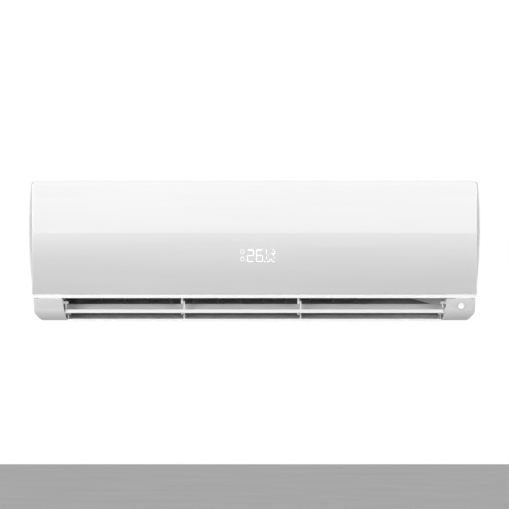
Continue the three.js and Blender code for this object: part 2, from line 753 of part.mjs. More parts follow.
// A vane about its own pivot; the flow runs along the depth axis, the floor is height 0
function vane(lead) {
  const blade = outline([
    [-12, RAIL_TOP + 0.6], [27, RAIL_TOP + 0.6], [29, 12], [29, 60], [24, 68], [-2, 64], [-12, 52],
  ]);
  const notch = block(-2, 2, TIE_ALONG - 6, TIE_ALONG + 6, TIE_LOW - 2, TIE_LOW + 5);
  const foot = lead ? -9 : 0.6;
  return join([
    acrossX(blade, -0.9, 0.9).subtract(notch),
    rodZ(1.2, TIE_LOW - 3, TIE_LOW + 6, 0, TIE_ALONG, 6),
    rodZ(2, foot, RAIL_TOP + 6, 0, 0, 6),
  ]);
}

function vaneRail(count) {
  const bar = block(-9, VANE_PITCH * (count - 1) + 9, -6, 6, GAP, RAIL_TOP);
  const holes = Array.from({ length: count }, (_, i) => (
    rodZ(2.6, -1, RAIL_TOP + 1, VANE_PITCH * i, 0, 8)
  ));
  return cut(bar, holes);
}

function tieBar(count) {
  const bar = block(-4, VANE_PITCH * (count - 1) + 4, -2.8, 2.8, TIE_LOW, TIE_LOW + 2.4);
  const holes = Array.from({ length: count }, (_, i) => (
    rodZ(1.75, TIE_LOW - 1, TIE_LOW + 4, VANE_PITCH * i, 0, 6)
  ));
  return cut(bar, holes);
}

// Holes that let each lead vane's pivot through the floor to its motor
function vaneMotorHoles() {
  return VANE_GROUPS.map(({ start }) => rodZ(2.8, -6, 2, start, VANE_AXIS_ALONG, 10)
    .rotate([DUCT_TILT, 0, 0])
    .translate([0, -FLOOR_START[0], FLOOR_START[1]]));
}

function vaneMotor() {
  const can = rodZ(12, -20, -3 - GAP, 0, 0, 16);
  const ears = block(-17, 17, -3, 3, -4.6, -3 - GAP);
  return can.add(ears).subtract(rodZ(2.6, -12, 0, 0, 0, 8));
}

// ---------------------------------------------------------------- coil and pipes

// Return bends of a slab: row in its thickness, and share of its length from the middle
const BEND_PLACES = [{ row: -4, share: -0.25 }, { row: 5, share: 0.25 }];

// A finned slab about its own middle: outer face towards the room, length upright
function finnedSlab(length) {
  const half = SLAB_THICK / 2;
  const points = [[COIL_LEFT, -half], [COIL_RIGHT, -half]];
  const fins = Math.round((COIL_RIGHT - COIL_LEFT) / FIN_PITCH);
  const pitch = (COIL_RIGHT - COIL_LEFT) / fins;
  for (let i = 0; i < fins; i += 1) {
    const x = COIL_RIGHT - pitch * i;
    points.push([x, half], [x - pitch * 0.45, half]);
    if (i < fins - 1) {
      points.push([x - pitch * 0.45, half - 5], [x - pitch, half - 5]);
    } else {
      points.push([COIL_LEFT, half]);
    }
  }
  return upright(outline(points), -length / 2, length / 2);
}

function slabPlace({ from, to }) {
  const run = [to[0] - from[0], to[1] - from[1]];
  return {
    middle: [(from[0] + to[0]) / 2, (from[1] + to[1]) / 2],
    length: Math.hypot(...run),
    tilt: Math.atan2(run[0], run[1]),
  };
}

// Return bend between two neighbouring tubes, standing out along X from a plate
function returnBend(x, out, depth, z) {
  const reach = 10;
  const points = Array.from({ length: 5 }, (_, i) => {
    const angle = Math.PI * i / 4;
    return new THREE.Vector3(x + out * reach * Math.sin(angle), -depth, z - 10 * Math.cos(angle));
  });
  const section = new THREE.Shape();
  section.absarc(0, 0, 3.4, 0, Math.PI * 2);
  const geometry = new THREE.ExtrudeGeometry(section, {
    steps: 4,
    curveSegments: 3,
    extrudePath: new THREE.CatmullRomCurve3(points),
  });
  return toSolid(geometry);
}

// Thin plate that ties the ends of the three slabs together, with the tubes' return bends
function coilEnd(side) {
  const [x0, x1] = side > 0 ? [COIL_RIGHT + GAP, COIL_RIGHT + 1.6] : [COIL_LEFT - 1.6, COIL_LEFT - GAP];
  const face = side > 0 ? x1 - 0.4 : x0 + 0.4;
  const plate = acrossX(outline([
    [151.4, -41], [174, -41], [174, 43], [168, 62.5], [107.2, 121.4], [71.4, 116.4], [33.4, 69.4],
    [51, 55.5], [89.5, 103], [151.4, 44.5],
  ]), x0, x1);
  const bends = Object.values(SLABS).flatMap((slab) => {
    const { middle, length, tilt } = slabPlace(slab);
    return BEND_PLACES.map(({ row, share }) => returnBend(face, side, row, length * share)
      .rotate([THREE.MathUtils.radToDeg(tilt), 0, 0])
      .translate([0, -middle[0], middle[1]]));
  });
  return join([plate, ...bends]);
}

// Pipe from the end of the coil down behind the motor and along the rear channel
function pipe({ radius, start, column, depth, low, endX }) {
  const [d0, z0] = start;
  const points = [
    [COIL_RIGHT + 3, d0, z0], [COIL_RIGHT + 10, d0, z0], [column, d0 - 6, z0 - 12],
    [column, (d0 + depth) / 2, z0 - 30], [column, depth + 5, z0 - 50], [column, depth, z0 - 70],
    [column, depth, low + 24], [column - 7, depth, low + 7], [column - 23, depth, low],
    [130, depth, low], [endX, depth, low],
  ].map(([x, d, z]) => new THREE.Vector3(x, -d, z));
  const section = new THREE.Shape();
  section.absarc(0, 0, radius, 0, Math.PI * 2);
  const geometry = new THREE.ExtrudeGeometry(section, {
    steps: 26,
    curveSegments: 3,
    extrudePath: new THREE.CatmullRomCurve3(points, false, 'centripetal'),
  });
  return toSolid(geometry);
}

function flareNut({ radius, depth, low, endX, acrossFlats }) {
  const hex = rodX(acrossFlats / Math.sqrt(3), endX - 18, endX + 4, [depth, low], 6);
  return hex.subtract(rodX(radius + GAP * 1.5, endX - 1, endX + 6, [depth, low], 8));
}

// ---------------------------------------------------------------- electrics

const BOX = { x0: 352, x1: 430, d0: 30, d1: 150, z0: -22, z1: 112 };

function controlBox() {
  const { x0, x1, d0, d1, z0, z1 } = BOX;
  const cable = block(x0 + 20, x1 - 20, d0 + 20, d0 + 50, z0 - 1, z0 + 3);
  return cut(block(x0, x1, d0, d1, z0, z1), [
    block(x0 + 2, x1 - 2, d0 + 2, d1 + 1, z0 + 2, z1 - 2),
    cable,
  ]).add(block(x0 + 10, x1 - 10, 13 + GAP, d0 + 1, z0 + 30, z1 - 30));
}

function controlBoxCover() {
  const { x0, x1, d1, z0, z1 } = BOX;
  const lid = block(x0 - 1, x1 + 1, d1 + GAP, d1 + 2.4, z0 - 1, z1 + 1);
  const louvres = Array.from({ length: 5 }, (_, i) => (
    block(x0 + 14, x1 - 14, d1, d1 + 3, z0 + 90 + i * 9, z0 + 93 + i * 9)
  ));
  return cut(lid, louvres);
}

function circuitBoard() {
  const { x0, x1, d0, d1, z0, z1 } = BOX;
  return join([
    block(x0 + 8, x0 + 9.8, d0 + 6, d1 - 8, z0 + 34, z1 - 8),
    block(x0 + 9, x0 + 26, d0 + 20, d0 + 40, z1 - 40, z1 - 20),
    block(x0 + 9, x0 + 22, d0 + 56, d0 + 86, z1 - 50, z1 - 24),
    block(x0 + 9, x0 + 30, d0 + 24, d0 + 60, z0 + 50, z0 + 74),
    rodX(8, x0 + 9, x0 + 38, [d1 - 28, z0 + 56], 12),
    block(x0 + 2 + GAP, x0 + 9, d0 + 10, d0 + 16, z0 + 40, z0 + 46),
    block(x0 + 2 + GAP, x0 + 9, d1 - 18, d1 - 12, z1 - 20, z1 - 14),
  ]);
}

function terminalBlock() {
  const { x0, x1, d1, z0 } = BOX;
  const body = block(x0 + 6, x1 - 6, d1 - 34, d1 - 12, z0 + 2 + GAP, z0 + 22);
  const bays = Array.from({ length: 5 }, (_, i) => (
    block(x0 + 9 + i * 12.4, x0 + 18 + i * 12.4, d1 - 30, d1 - 11, z0 + 12, z0 + 24)
  ));
  return cut(body, bays);
}

// ---------------------------------------------------------------- wall plate

function wallPlate() {
  const sheet = block(-330, 330, 0, 1.4, -96, 108);
  const ribs = [-62, 74].map((z) => acrossX(
    outline([[0.7, z - 14], [6.4, z - 8], [6.4, z + 8], [0.7, z + 14]]), -318, 318,
  ));
  const hollows = [-62, 74].map((z) => acrossX(
    outline([[-1, z - 14], [-1, z + 14], [5, z + 7], [5, z - 7]]), -316.6, 316.6,
  ));
  const windows = [[-300, -215], [-150, -65], [65, 150], [215, 300]].map(
    ([x0, x1]) => block(x0, x1, -1, 3, -34, 46),
  );
  const holes = [-290, -110, 110, 290].flatMap((x) => [98, -86].map(
    (z) => rodDepth(2.7, -1, 3, x, z, 8),
  ));
  const hooks = [-250, 0, 250].flatMap((x) => [
    block(x - 16, x + 16, 0, 7.8, 106.6, 108),
    block(x - 16, x + 16, 6.2, 7.8, 106.6, 123.6),
  ]);
  return join([cut(join([sheet, ...ribs]), [...hollows, ...windows, ...holes]), ...hooks]);
}

// ---------------------------------------------------------------- assembly

const unit = new THREE.Group();

function add(name, solid, material, parent = unit) {
  const mesh = new THREE.Mesh(toGeometry(solid), material);
  mesh.name = name;
  parent.add(mesh);
  return mesh;
}

// A group at a side point, turned about X
function pivotGroup([depth, height], angle, x = 0) {
  const group = new THREE.Group();
  group.position.set(x, -depth, height);
  group.rotation.x = angle;
  unit.add(group);
  return group;
}

add('wall_plate', wallPlate(), STEEL);
add('rear_chassis', rearChassis(), DARK_PLASTIC);
add('front_frame', frontFrame(), WHITE_PLASTIC);
add('air_filter_left', airFilter(-1), NET);
add('air_filter_right', airFilter(1), NET);
add('front_panel', frontPanel(), PANEL_PLASTIC);
add('panel_trim_strip', trimStrip(), SATIN_STRIP);
add('display_board', displayBoard(), BOARD);
add('receiver_lens', receiverPlug(0), LENS);
add('auto_button_switch', buttonSwitch(), BOARD);

const button = add('auto_button', autoButton(), GREY_PLASTIC);
button.position.set(BUTTON_AT[0], 0, BUTTON_AT[1]);

add('drain_pan', drainPan(), DARK_PLASTIC);
add('drain_plug', drainPlug(), RUBBER);

for (const [name, slab] of Object.entries(SLABS)) {
  const { middle, length, tilt } = slabPlace(slab);
  add(name, finnedSlab(length), ALUMINIUM, pivotGroup(middle, tilt));
}
add('coil_end_left', coilEnd(-1), COPPER);
add('coil_end_right', coilEnd(1), COPPER);
for (const [name, run] of Object.entries(PIPES)) {
  add(`${name}_pipe`, pipe(run), COPPER);
  add(`${name}_flare_nut`, flareNut(run), BRASS);
}

const fan = pivotGroup(FAN_CENTRE, 0);
add('crossflow_fan', crossflowFan(), FAN_PLASTIC, fan);
add('motor_shaft', motorShaft(), STEEL, fan);
add('fan_bearing', fanBearing(), RUBBER);
add('fan_motor', fanMotor(), STEEL);
add('motor_clamp', motorClamp(286, 325), GREY_PLASTIC);

add('control_box', controlBox(), DARK_PLASTIC);
add('control_box_cover', controlBoxCover(), STEEL);
add('main_circuit_board', circuitBoard(), BOARD);
add('terminal_block', terminalBlock(), RUBBER);

const upperFlap = pivotGroup(UPPER_PIVOT, UPPER_OPEN);
add('upper_flap', flap(0.02, 0.6, UPPER_NOSE, UPPER_HALF, UPPER_PIVOT, [12, -8]), FLAP_PLASTIC, upperFlap);
const lowerFlap = pivotGroup(LOWER_PIVOT, LOWER_OPEN);
add('lower_flap', flap(0.64, 1, LOWER_NOSE, LOWER_HALF, LOWER_PIVOT, [1.5, -10.5]), FLAP_PLASTIC, lowerFlap);
add('flap_hanger_left', flapHanger(HANGERS_X[0]), WHITE_PLASTIC);
add('flap_hanger_right', flapHanger(HANGERS_X[1]), WHITE_PLASTIC);
add('flap_bracket_left', flapBracket(-1), WHITE_PLASTIC);
add('flap_bracket_right', flapBracket(1), WHITE_PLASTIC);
add('upper_flap_motor', flapMotor(UPPER_PIVOT, 12), STEEL);
add('lower_flap_motor', flapMotor(LOWER_PIVOT, 9.5), STEEL);

const ductAngle = THREE.MathUtils.degToRad(DUCT_TILT);
const along = VANE_AXIS_ALONG / FLOOR_LENGTH;
const vaneFoot = [FLOOR_START[0] + FLOOR_RUN[0] * along, FLOOR_START[1] + FLOOR_RUN[1] * along];
for (const { side, start, count } of VANE_GROUPS) {
  for (let i = 0; i < count; i += 1) {
    const place = pivotGroup(vaneFoot, ductAngle, start + VANE_PITCH * i);
    add(`vane_${side}_${i + 1}`, vane(i === 0), FAN_PLASTIC, place);
  }
  const floor = pivotGroup(vaneFoot, ductAngle, start);
  add(`vane_rail_${side}`, vaneRail(count), DARK_PLASTIC, floor);
  add(`vane_motor_${side}`, vaneMotor(), STEEL, floor);
  const bar = add(`vane_tie_bar_${side}`, tieBar(count), FAN_PLASTIC, floor);
  bar.position.y = -TIE_ALONG;
}

export default unit;
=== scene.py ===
"""Looks of the wall-hung indoor unit: smooth mouldings, net, fins, lit display and materials."""

import json
import math

import bmesh
import bpy
from mathutils import Matrix, Vector


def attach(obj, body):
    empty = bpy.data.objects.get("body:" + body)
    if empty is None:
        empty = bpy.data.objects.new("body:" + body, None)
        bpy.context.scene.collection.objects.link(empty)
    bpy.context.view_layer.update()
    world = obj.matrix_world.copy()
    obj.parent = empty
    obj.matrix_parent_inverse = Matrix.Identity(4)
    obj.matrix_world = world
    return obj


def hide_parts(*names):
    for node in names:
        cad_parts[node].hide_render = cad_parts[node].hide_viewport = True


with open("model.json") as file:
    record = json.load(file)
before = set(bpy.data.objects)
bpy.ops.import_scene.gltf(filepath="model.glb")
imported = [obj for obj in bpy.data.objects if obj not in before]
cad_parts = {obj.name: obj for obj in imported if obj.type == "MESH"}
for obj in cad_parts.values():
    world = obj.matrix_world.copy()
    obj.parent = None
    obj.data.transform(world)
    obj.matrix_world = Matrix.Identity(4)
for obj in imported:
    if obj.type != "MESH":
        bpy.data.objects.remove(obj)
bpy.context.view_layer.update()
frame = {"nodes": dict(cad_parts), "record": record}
nodes = frame["nodes"]

# ------------------------------------------------------------------ dimensions, in millimetres
# A side point is (depth from the wall, height), and a front point is (x, height).

SMOOTH_DEGREES = 32  # edges that turn more than this stay sharp

SKIN = 2.5
CASING_TOP = 139.5
CASING_FOOT = -139.0
CASING_FRONT = 186.5
CASING_BACK = 2.0
CASING_EDGE = 4.5  # rounding of its sides
CHEEK_TOP = (187.0, -95.0)
LIP = (118.0, -139.0)
WAIST_HALF = 441.0
WAIST_Z = -95.0
SHOULDER_HALF = 446.5
SHOULDER_CORNER = 7.0
FOOT_HALF = 430.0
FOOT_CHAMFER = (10.5, 12.5)
BELLY_CONTROL = 456.0
HOLLOW_FULL = (-130.0, 120.0)  # heights between which the hollow has its full width
HOLLOW_CORNER = 7.0  # what it gives up on each side beyond them
THROUGH_FRONT = (178.0, 192.0)  # depths of a cutter that goes through the front wall
SERVICE_WINDOWS_X = ((-395.0, -170.0), (-160.0, 60.0), (70.0, 300.0))
SERVICE_WINDOWS_Z = (-28.0, 108.0)
STRIP_BED = 3.2
CASING_EAR = ((185.5, 112.0), (185.5, 126.0), (187.8, 132.8), (191.2, 132.8), (193.6, 130.0))

PANEL_HALF = 444.0
PANEL_BACK = 188.0
PANEL_TOP = 140.5
PANEL_BOTTOM = -86.0
PANEL_WALL = 3.0
PANEL_CORNER = (8.0, 12.0)
PANEL_SHOULDER = (199.8, 126.0)
CREASE = (205.0, 36.0)
PANEL_HINGE = (191.2, 132.8)
PANEL_HINGES_X = (-330.0, 0.0, 330.0)
PANEL_EAR = ((190.6, 139.0), (188.0, 132.8), (194.4, 132.8), (197.0, 136.5), (195.0, 139.0))
HINGE_GAP = 4.2  # from the middle of a hinge to each of the panel's ears
PIN_RADIUS = 2.1
STRIP_HALF = 441.0
STRIP_OUTLINE = (
    (184.2, -86.35), (188.6, -86.35), (189.3, -86.6), (190.6, -88.2), (191.4, -89.8),
    (191.6, -91.6), (191.55, -92.8), (191.1, -93.7), (190.4, -94.1), (184.2, -94.1),
)

UPPER_PIVOT = (164.6, -103.0)
LOWER_PIVOT = (137.7, -124.6)
UPPER_OPEN = math.radians(77)
LOWER_OPEN = math.radians(24)
UPPER_HALF = 378.5
LOWER_HALF = 374.8
UPPER_SPAN = (0.02, 0.6)  # share of the cheek's curve
LOWER_SPAN = (0.64, 1.0)
UPPER_FOOT = (12.0, -8.0)  # where the arms end, from the pivot
LOWER_FOOT = (1.5, -10.5)
FLAP_THICK = 2.2
UPPER_NOSE = 7.6
LOWER_NOSE = 5.0
ARM_WIDTH = 3.0
ARM_SPREAD = 5.0
END_EYE, HANGER_EYE = 4.2, 3.6
TRUNNION_RADIUS = 3.4
BRACKET_FACE = 382.6
HANGERS_X = (-145.0, 88.0)
OUTLET_HALF_TOP = 385.0
OUTLET_HALF_FOOT = 375.3
OUTLET_DEPTHS = (40.0, 200.0)  # of the cutter

INTAKE_HALF, INTAKE_BACK, INTAKE_FRONT = 404.0, 30.0, 160.0
INTAKE_SEAT, INTAKE_FOOT = 134.5, 128.0
SLOT_ROWS = 6
SLOT_COLUMNS = 5
FILTER_SPLIT = 5.0
FILTER_BAYS = 4
FILTER_GAP = 0.35  # round a filter in its seat
FILTER_EDGE = 6.0
FILTER_RAIL = 5.6
THREAD_HALF = 0.28
THREAD_STEP = 2.1

RECEIVER_AT = (413.0, -110.0)
# Profiles from the edge to the middle: a scale and a height over the face.
RECEIVER_BED = ((1.0, 8.0), (1.0, -0.9), (0.7, -0.9), (0.4, -0.9))
RECEIVER_DOME = ((1.0, -1.6), (1.0, 0.1), (0.95, 0.6), (0.82, 1.05), (0.6, 1.35), (0.3, 1.5))
KNOCK_OUT = (1.0, 62.0, -124.0, -74.0)  # depths and heights of the marked pipe openings
SCORE_WIDTH, SCORE_DEPTH = 0.9, 0.5
BUTTON_AT = (405.0, -58.0)
BUTTON_HOLE = 5.4

DIGIT_LOW, DIGIT_HIGH = -21.0, 2.2
DIGIT_WIDE = 12.0
DIGIT_STROKE, DIGIT_CAP = 1.3, 2.7
SEGMENT_GAP = 0.4
SEGMENT_PROUD, SEGMENT_SUNK = 0.12, 0.1

COIL_LEFT, COIL_RIGHT = -374.0, 257.0
SLAB_THICK = 22.0
SLABS = {
    "coil_front_slab": ((163.0, -41.0), (163.0, 43.0)),
    "coil_upper_slab": ((160.5, 54.5), (99.5, 113.5)),
    "coil_rear_slab": ((80.0, 109.5), (42.0, 62.5)),
}
FINS = 340
FIN_HALF = 0.18
TUBE_PITCH = 21.0
TUBE_ROWS = (-5.2, 5.2)
COLLAR_RADIUS = 3.7


def at(x, depth, height):
    """A point of the frame, in metres, from millimetres."""
    return Vector((x / 1000, -depth / 1000, height / 1000))


# ------------------------------------------------------------------ materials


def fill(tree, node, inputs):
    """Link the inputs that are given a socket, and set those that are given a value."""
    for key, value in inputs.items():
        if isinstance(value, bpy.types.NodeSocket):
            tree.links.new(value, node.inputs[key])
        else:
            node.inputs[key].default_value = value


def add_node(tree, kind, inputs=None, **settings):
    made = tree.nodes.new(kind)
    for key, value in settings.items():
        setattr(made, key, value)
    fill(tree, made, inputs or {})
    return made


class Shader:
    """A material under construction, with its Principled shader."""

    def __init__(self, name):
        self.material = bpy.data.materials.new(name)
        self.material.use_nodes = True
        self.tree = self.material.node_tree
        self.tree.nodes.clear()
        self.base = self.node("ShaderNodeBsdfPrincipled")
        self.out = self.node("ShaderNodeOutputMaterial", {"Surface": self.base.outputs[0]})
        self.coords = self.node("ShaderNodeTexCoord").outputs["Object"]

    def node(self, kind, inputs=None, **settings):
        return add_node(self.tree, kind, inputs, **settings)

    def set(self, **values):
        """Inputs of the Principled shader. An underscore stands for a space in a name."""
        fill(self.tree, self.base, {key.replace("_", " "): value for key, value in values.items()})

    def noise(self, scale, detail=2.0, stretch=None):
        """Cloudy noise. A small factor in `stretch` draws it out along that axis."""
        vector = self.coords
        if stretch:
            inputs = {"Vector": vector, "Scale": stretch}
            vector = self.node("ShaderNodeMapping", inputs).outputs[0]
        inputs = {"Vector": vector, "Scale": scale, "Detail": detail}
        return self.node("ShaderNodeTexNoise", inputs).outputs["Fac"]

    def wave(self, scale, axis):
        """Even ripples that follow each other along an axis."""
        inputs = {"Vector": self.coords, "Scale": scale, "Distortion": 0.0}
        made = self.node("ShaderNodeTexWave", inputs, bands_direction=axis, wave_profile="SIN")
        return made.outputs["Fac"]

    def ramp(self, fac, low, high, start=0.3, end=0.7):
        """A number that goes from low to high while fac goes from start to end."""
        made = self.node("ShaderNodeMapRange", {"Value": fac, "From Min": start, "From Max": end,
                                                "To Min": low, "To Max": high})
        return made.outputs["Result"]

    def tone(self, fac, dark, light, start=0.3, end=0.7):
        """A colour that goes from dark to light while fac goes from start to end."""
        made = self.node("ShaderNodeValToRGB", {"Fac": fac})
        stops = made.color_ramp.elements
        stops[0].position, stops[1].position = start, end
        stops[0].color, stops[1].color = (*dark, 1), (*light, 1)
        return made.outputs["Color"]

    def bump(self, height, distance, strength):
        """A normal tilted by the slopes of a height. The distance is in metres."""
        inputs = {"Height": height, "Distance": distance, "Strength": strength}
        return self.node("ShaderNodeBump", inputs).outputs[0]


def scaled(color, factor):
    return tuple(min(1.0, channel * factor) for channel in color)


def moulded(name, color, rough, grain=1100.0, depth=0.00004, spread=0.015, coat=0.0):
    """Moulded plastic: a faint drift of tone, uneven gloss and the mould's fine grain."""
    s = Shader(name)
    drift = s.noise(5.0, 3.0)
    s.set(
        Base_Color=s.tone(drift, scaled(color, 1 - spread), scaled(color, 1 + spread)),
        Roughness=s.ramp(s.noise(40.0, 3.0), rough - 0.03, rough + 0.04),
        Normal=s.bump(s.noise(grain, 2.0), depth, 0.6),
        Coat_Weight=coat,
    )
    return s.material


def panel_finish():
    """Pearl lacquer on the panel: pale silver-white, with soft streaks along its length."""
    s = Shader("panel_lacquer")
    streak = s.noise(60.0, 4.0, stretch=(0.05, 1.0, 1.0))
    color = (0.96, 0.96, 0.96)
    s.set(
        Base_Color=s.tone(streak, scaled(color, 0.985), scaled(color, 1.01)),
        Roughness=s.ramp(s.noise(24.0, 3.0, stretch=(0.1, 1.0, 1.0)), 0.33, 0.39),
        Normal=s.bump(s.noise(1600.0, 1.0), 0.00001, 0.4),
        Metallic=0.72,
    )
    return s.material


def metal(name, dark, light, rough, metallic=1.0, grain=(1.0, 1.0, 1.0)):
    """Bare metal, clouded along its grain."""
    s = Shader(name)
    cloud = s.noise(90.0, 4.0, stretch=grain)
    s.set(
        Base_Color=s.tone(cloud, dark, light, 0.35, 0.65),
        Roughness=s.ramp(cloud, rough - 0.06, rough + 0.08),
        Metallic=metallic,
        Normal=s.bump(s.noise(900.0, 2.0, stretch=grain), 0.00002, 0.5),
    )
    return s.material


def galvanised():
    """Zinc-coated sheet with its crystal pattern."""
    s = Shader("galvanised_sheet")
    cells = s.node("ShaderNodeTexVoronoi", {"Vector": s.coords, "Scale": 130.0}).outputs["Color"]
    level = s.node("ShaderNodeSeparateColor", {"Color": cells}).outputs[0]
    s.set(
        Base_Color=s.tone(level, (0.42, 0.44, 0.46), (0.62, 0.64, 0.65), 0.1, 0.9),
        Roughness=s.ramp(level, 0.34, 0.5, 0.0, 1.0),
        Metallic=0.85,
        Normal=s.bump(level, 0.00002, 0.3),
    )
    return s.material


def net_thread():
    """Woven polypropylene thread of the air filters."""
    s = Shader("filter_thread")
    twist = s.noise(2600.0, 2.0)
    s.set(
        Base_Color=s.tone(twist, (0.05, 0.058, 0.066), (0.085, 0.095, 0.105)),
        Roughness=s.ramp(twist, 0.55, 0.75),
        Normal=s.bump(twist, 0.00005, 0.6),
    )
    return s.material


def fin_foil():
    """Bare aluminium foil of the fins, a little dull from handling."""
    s = Shader("fin_foil")
    cloud = s.noise(30.0, 4.0)
    ripple = s.wave(120.0, "Z")
    s.set(
        Base_Color=s.tone(cloud, (0.6, 0.63, 0.66), (0.78, 0.8, 0.82)),
        Roughness=s.ramp(cloud, 0.28, 0.42),
        Metallic=0.9,
        Normal=s.bump(ripple, 0.00008, 0.4),
    )
    return s.material


def laminate():
    """Green circuit board with lighter tracks."""
    s = Shader("board_laminate")
    cells = s.node("ShaderNodeTexVoronoi", {"Vector": s.coords, "Scale": 190.0},
                   distance="MANHATTAN", feature="F1").outputs["Distance"]
    s.set(
        Base_Color=s.tone(cells, (0.05, 0.16, 0.08), (0.09, 0.26, 0.13), 0.3, 0.34),
        Roughness=s.ramp(s.noise(60.0), 0.32, 0.45),
        Normal=s.bump(cells, 0.00003, 0.4),
    )
    return s.material


def lit(name, strength):
    """White light of the display's segments, a little uneven as light through a panel is."""
    s = Shader(name)
    glow = s.noise(500.0, 1.0)
    s.set(
        Base_Color=s.tone(glow, (0.9, 0.93, 0.95), (0.98, 0.99, 1.0)),
        Roughness=0.4,
        Emission_Color=(1.0, 1.0, 1.0, 1),
        Emission_Strength=strength,
    )
    return s.material


CASING = moulded("casing_white", (0.62, 0.62, 0.62), 0.36, spread=0.008)
PANEL = panel_finish()
STRIP = moulded("satin_strip", (0.93, 0.93, 0.93), 0.24, 2200.0, 0.00001, 0.006, coat=0.5)
FLAP = moulded("flap_gloss", (0.86, 0.86, 0.858), 0.36, 2000.0, 0.00001, 0.006)
ARM = moulded("arm_white", (0.93, 0.93, 0.928), 0.34, spread=0.01)
INNER = moulded("inner_grey", (0.28, 0.28, 0.28), 0.5, 900.0, 0.00006, 0.06)
FAN = moulded("fan_black", (0.05, 0.05, 0.052), 0.5, 800.0, 0.00008, 0.08)
VANE = moulded("vane_grey", (0.17, 0.17, 0.17), 0.5, 900.0, 0.00005, 0.05)
BUTTON = moulded("button_grey", (0.5, 0.51, 0.52), 0.4, 1000.0, 0.00004, 0.02)
TERMINAL = moulded("terminal_black", (0.03, 0.03, 0.033), 0.45, 900.0, 0.00005, 0.06)
WINDOW = moulded("receiver_window", (0.93, 0.94, 0.95), 0.14, 1500.0, 0.00001, 0.01, coat=0.6)
RUBBER = moulded("black_rubber", (0.025, 0.025, 0.026), 0.75, 700.0, 0.0001, 0.1)
ZINC = galvanised()
NET = net_thread()
FOIL = fin_foil()
COPPER = metal("drawn_copper", (0.5, 0.22, 0.12), (0.78, 0.42, 0.26), 0.3, grain=(0.2, 1, 1))
BRASS = metal("turned_brass", (0.55, 0.4, 0.16), (0.78, 0.6, 0.3), 0.28)
STEEL = metal("ground_steel", (0.5, 0.51, 0.52), (0.66, 0.67, 0.68), 0.26, grain=(0.1, 1, 1))
SHELL = metal("motor_shell", (0.3, 0.31, 0.32), (0.42, 0.43, 0.44), 0.45, 0.7)
BOARD = laminate()
LIGHT = lit("segment_light", 0.55)

FINISHES = {
    "casing_plastic": CASING,
    "panel_plastic": PANEL,
    "satin_strip": STRIP,
    "flap_plastic": FLAP,
    "hanger_plastic": ARM,
    "inner_plastic": INNER,
    "fan_plastic": FAN,
    "vane_plastic": VANE,
    "button_plastic": BUTTON,
    "terminal_plastic": TERMINAL,
    "receiver_window": WINDOW,
    "filter_net": NET,
    "galvanised_plate": ZINC,
    "coil_fins": FOIL,
    "coil_copper": COPPER,
    "pipe_copper": COPPER,
    "flare_brass": BRASS,
    "bright_steel": STEEL,
    "motor_shell": SHELL,
    "black_rubber": RUBBER,
    "circuit_board": BOARD,
}

# The frame's own nodes take the same materials.
for entry in frame["record"]["subparts"]:
    cad = nodes[entry["node"]]
    cad.data.materials.clear()
    cad.data.materials.append(FINISHES[entry["material_slot"]])
    cad.data.set_sharp_from_angle(angle=math.radians(SMOOTH_DEGREES))
    cad.data.polygons.foreach_set("use_smooth", [True] * len(cad.data.polygons))

# ------------------------------------------------------------------ mesh helpers


def linked(name, data):
    """An object of the scene that shows the data."""
    obj = bpy.data.objects.new(name, data)
    bpy.context.scene.collection.objects.link(obj)
    return obj


def discard(obj):
    """Remove an object together with its mesh."""
    mesh = obj.data
    bpy.data.objects.remove(obj)
    bpy.data.meshes.remove(mesh)


def finish_normals(mesh):
    """Smooth shading that stops at the sharp edges."""
    mesh.polygons.foreach_set("use_smooth", [True] * len(mesh.polygons))
    mesh.set_sharp_from_angle(angle=math.radians(SMOOTH_DEGREES))


def make(name, verts, faces, material, bevel=0.0):
    """A mesh object from plain lists. Faces turn outwards, and a bevel softens every edge."""
    mesh = bpy.data.meshes.new(name)
    mesh.from_pydata([tuple(v) for v in verts], [], faces)
    work = bmesh.new()
    work.from_mesh(mesh)
    if bevel:
        bmesh.ops.bevel(work, geom=list(work.edges), offset=bevel / 1000, segments=2, profile=0.5,
                        affect="EDGES")
    bmesh.ops.recalc_face_normals(work, faces=work.faces)
    work.to_mesh(mesh)
    work.free()
    mesh.materials.append(material)
    finish_normals(mesh)
    return linked(name, mesh)


def boolean(obj, tools, operation="DIFFERENCE"):
    """obj with each tool cut away from it, or joined to it. The tools are used up."""
    for tool in tools:
        step = obj.modifiers.new("cut", "BOOLEAN")
        step.operation = operation
        step.solver = "EXACT"
        step.object = tool
    bpy.context.view_layer.update()
    depsgraph = bpy.context.evaluated_depsgraph_get()
    result = bpy.data.meshes.new_from_object(obj.evaluated_get(depsgraph))
    old = obj.data
    obj.modifiers.clear()
    obj.data = result
    bpy.data.meshes.remove(old)
    finish_normals(result)
    for tool in tools:
        discard(tool)
    return obj


def joined(name, objs):
    """One mesh object from several, each kept as its own closed shell."""
    work = bmesh.new()
    slots = []
    for obj in objs:
        before = len(work.faces)
        work.from_mesh(obj.data)
        work.faces.ensure_lookup_table()
        material = obj.data.materials[0]
        if material not in slots:
            slots.append(material)
        for face in work.faces[before:]:
            face.material_index = slots.index(material)
    mesh = bpy.data.meshes.new(name)
    work.to_mesh(mesh)
    work.free()
    for material in slots:
        mesh.materials.append(material)
    for obj in objs:
        discard(obj)
    finish_normals(mesh)
    return linked(name, mesh)


def bands(count, rings):
    """Faces between rings of `count` points each."""
    faces = []
    for a in range(0, (rings - 1) * count, count):
        for i in range(count):
            j = (i + 1) % count
            faces.append((a + i, a + j, a + count + j, a + count + i))
    return faces


def loft(name, rings, material):
    """A closed body through rings that have the same number of points."""
    count = len(rings[0])
    verts = [point for ring in rings for point in ring]
    faces = bands(count, len(rings))
    faces += [tuple(range(count)), tuple(range(len(verts) - count, len(verts)))]
    return make(name, verts, faces, material)


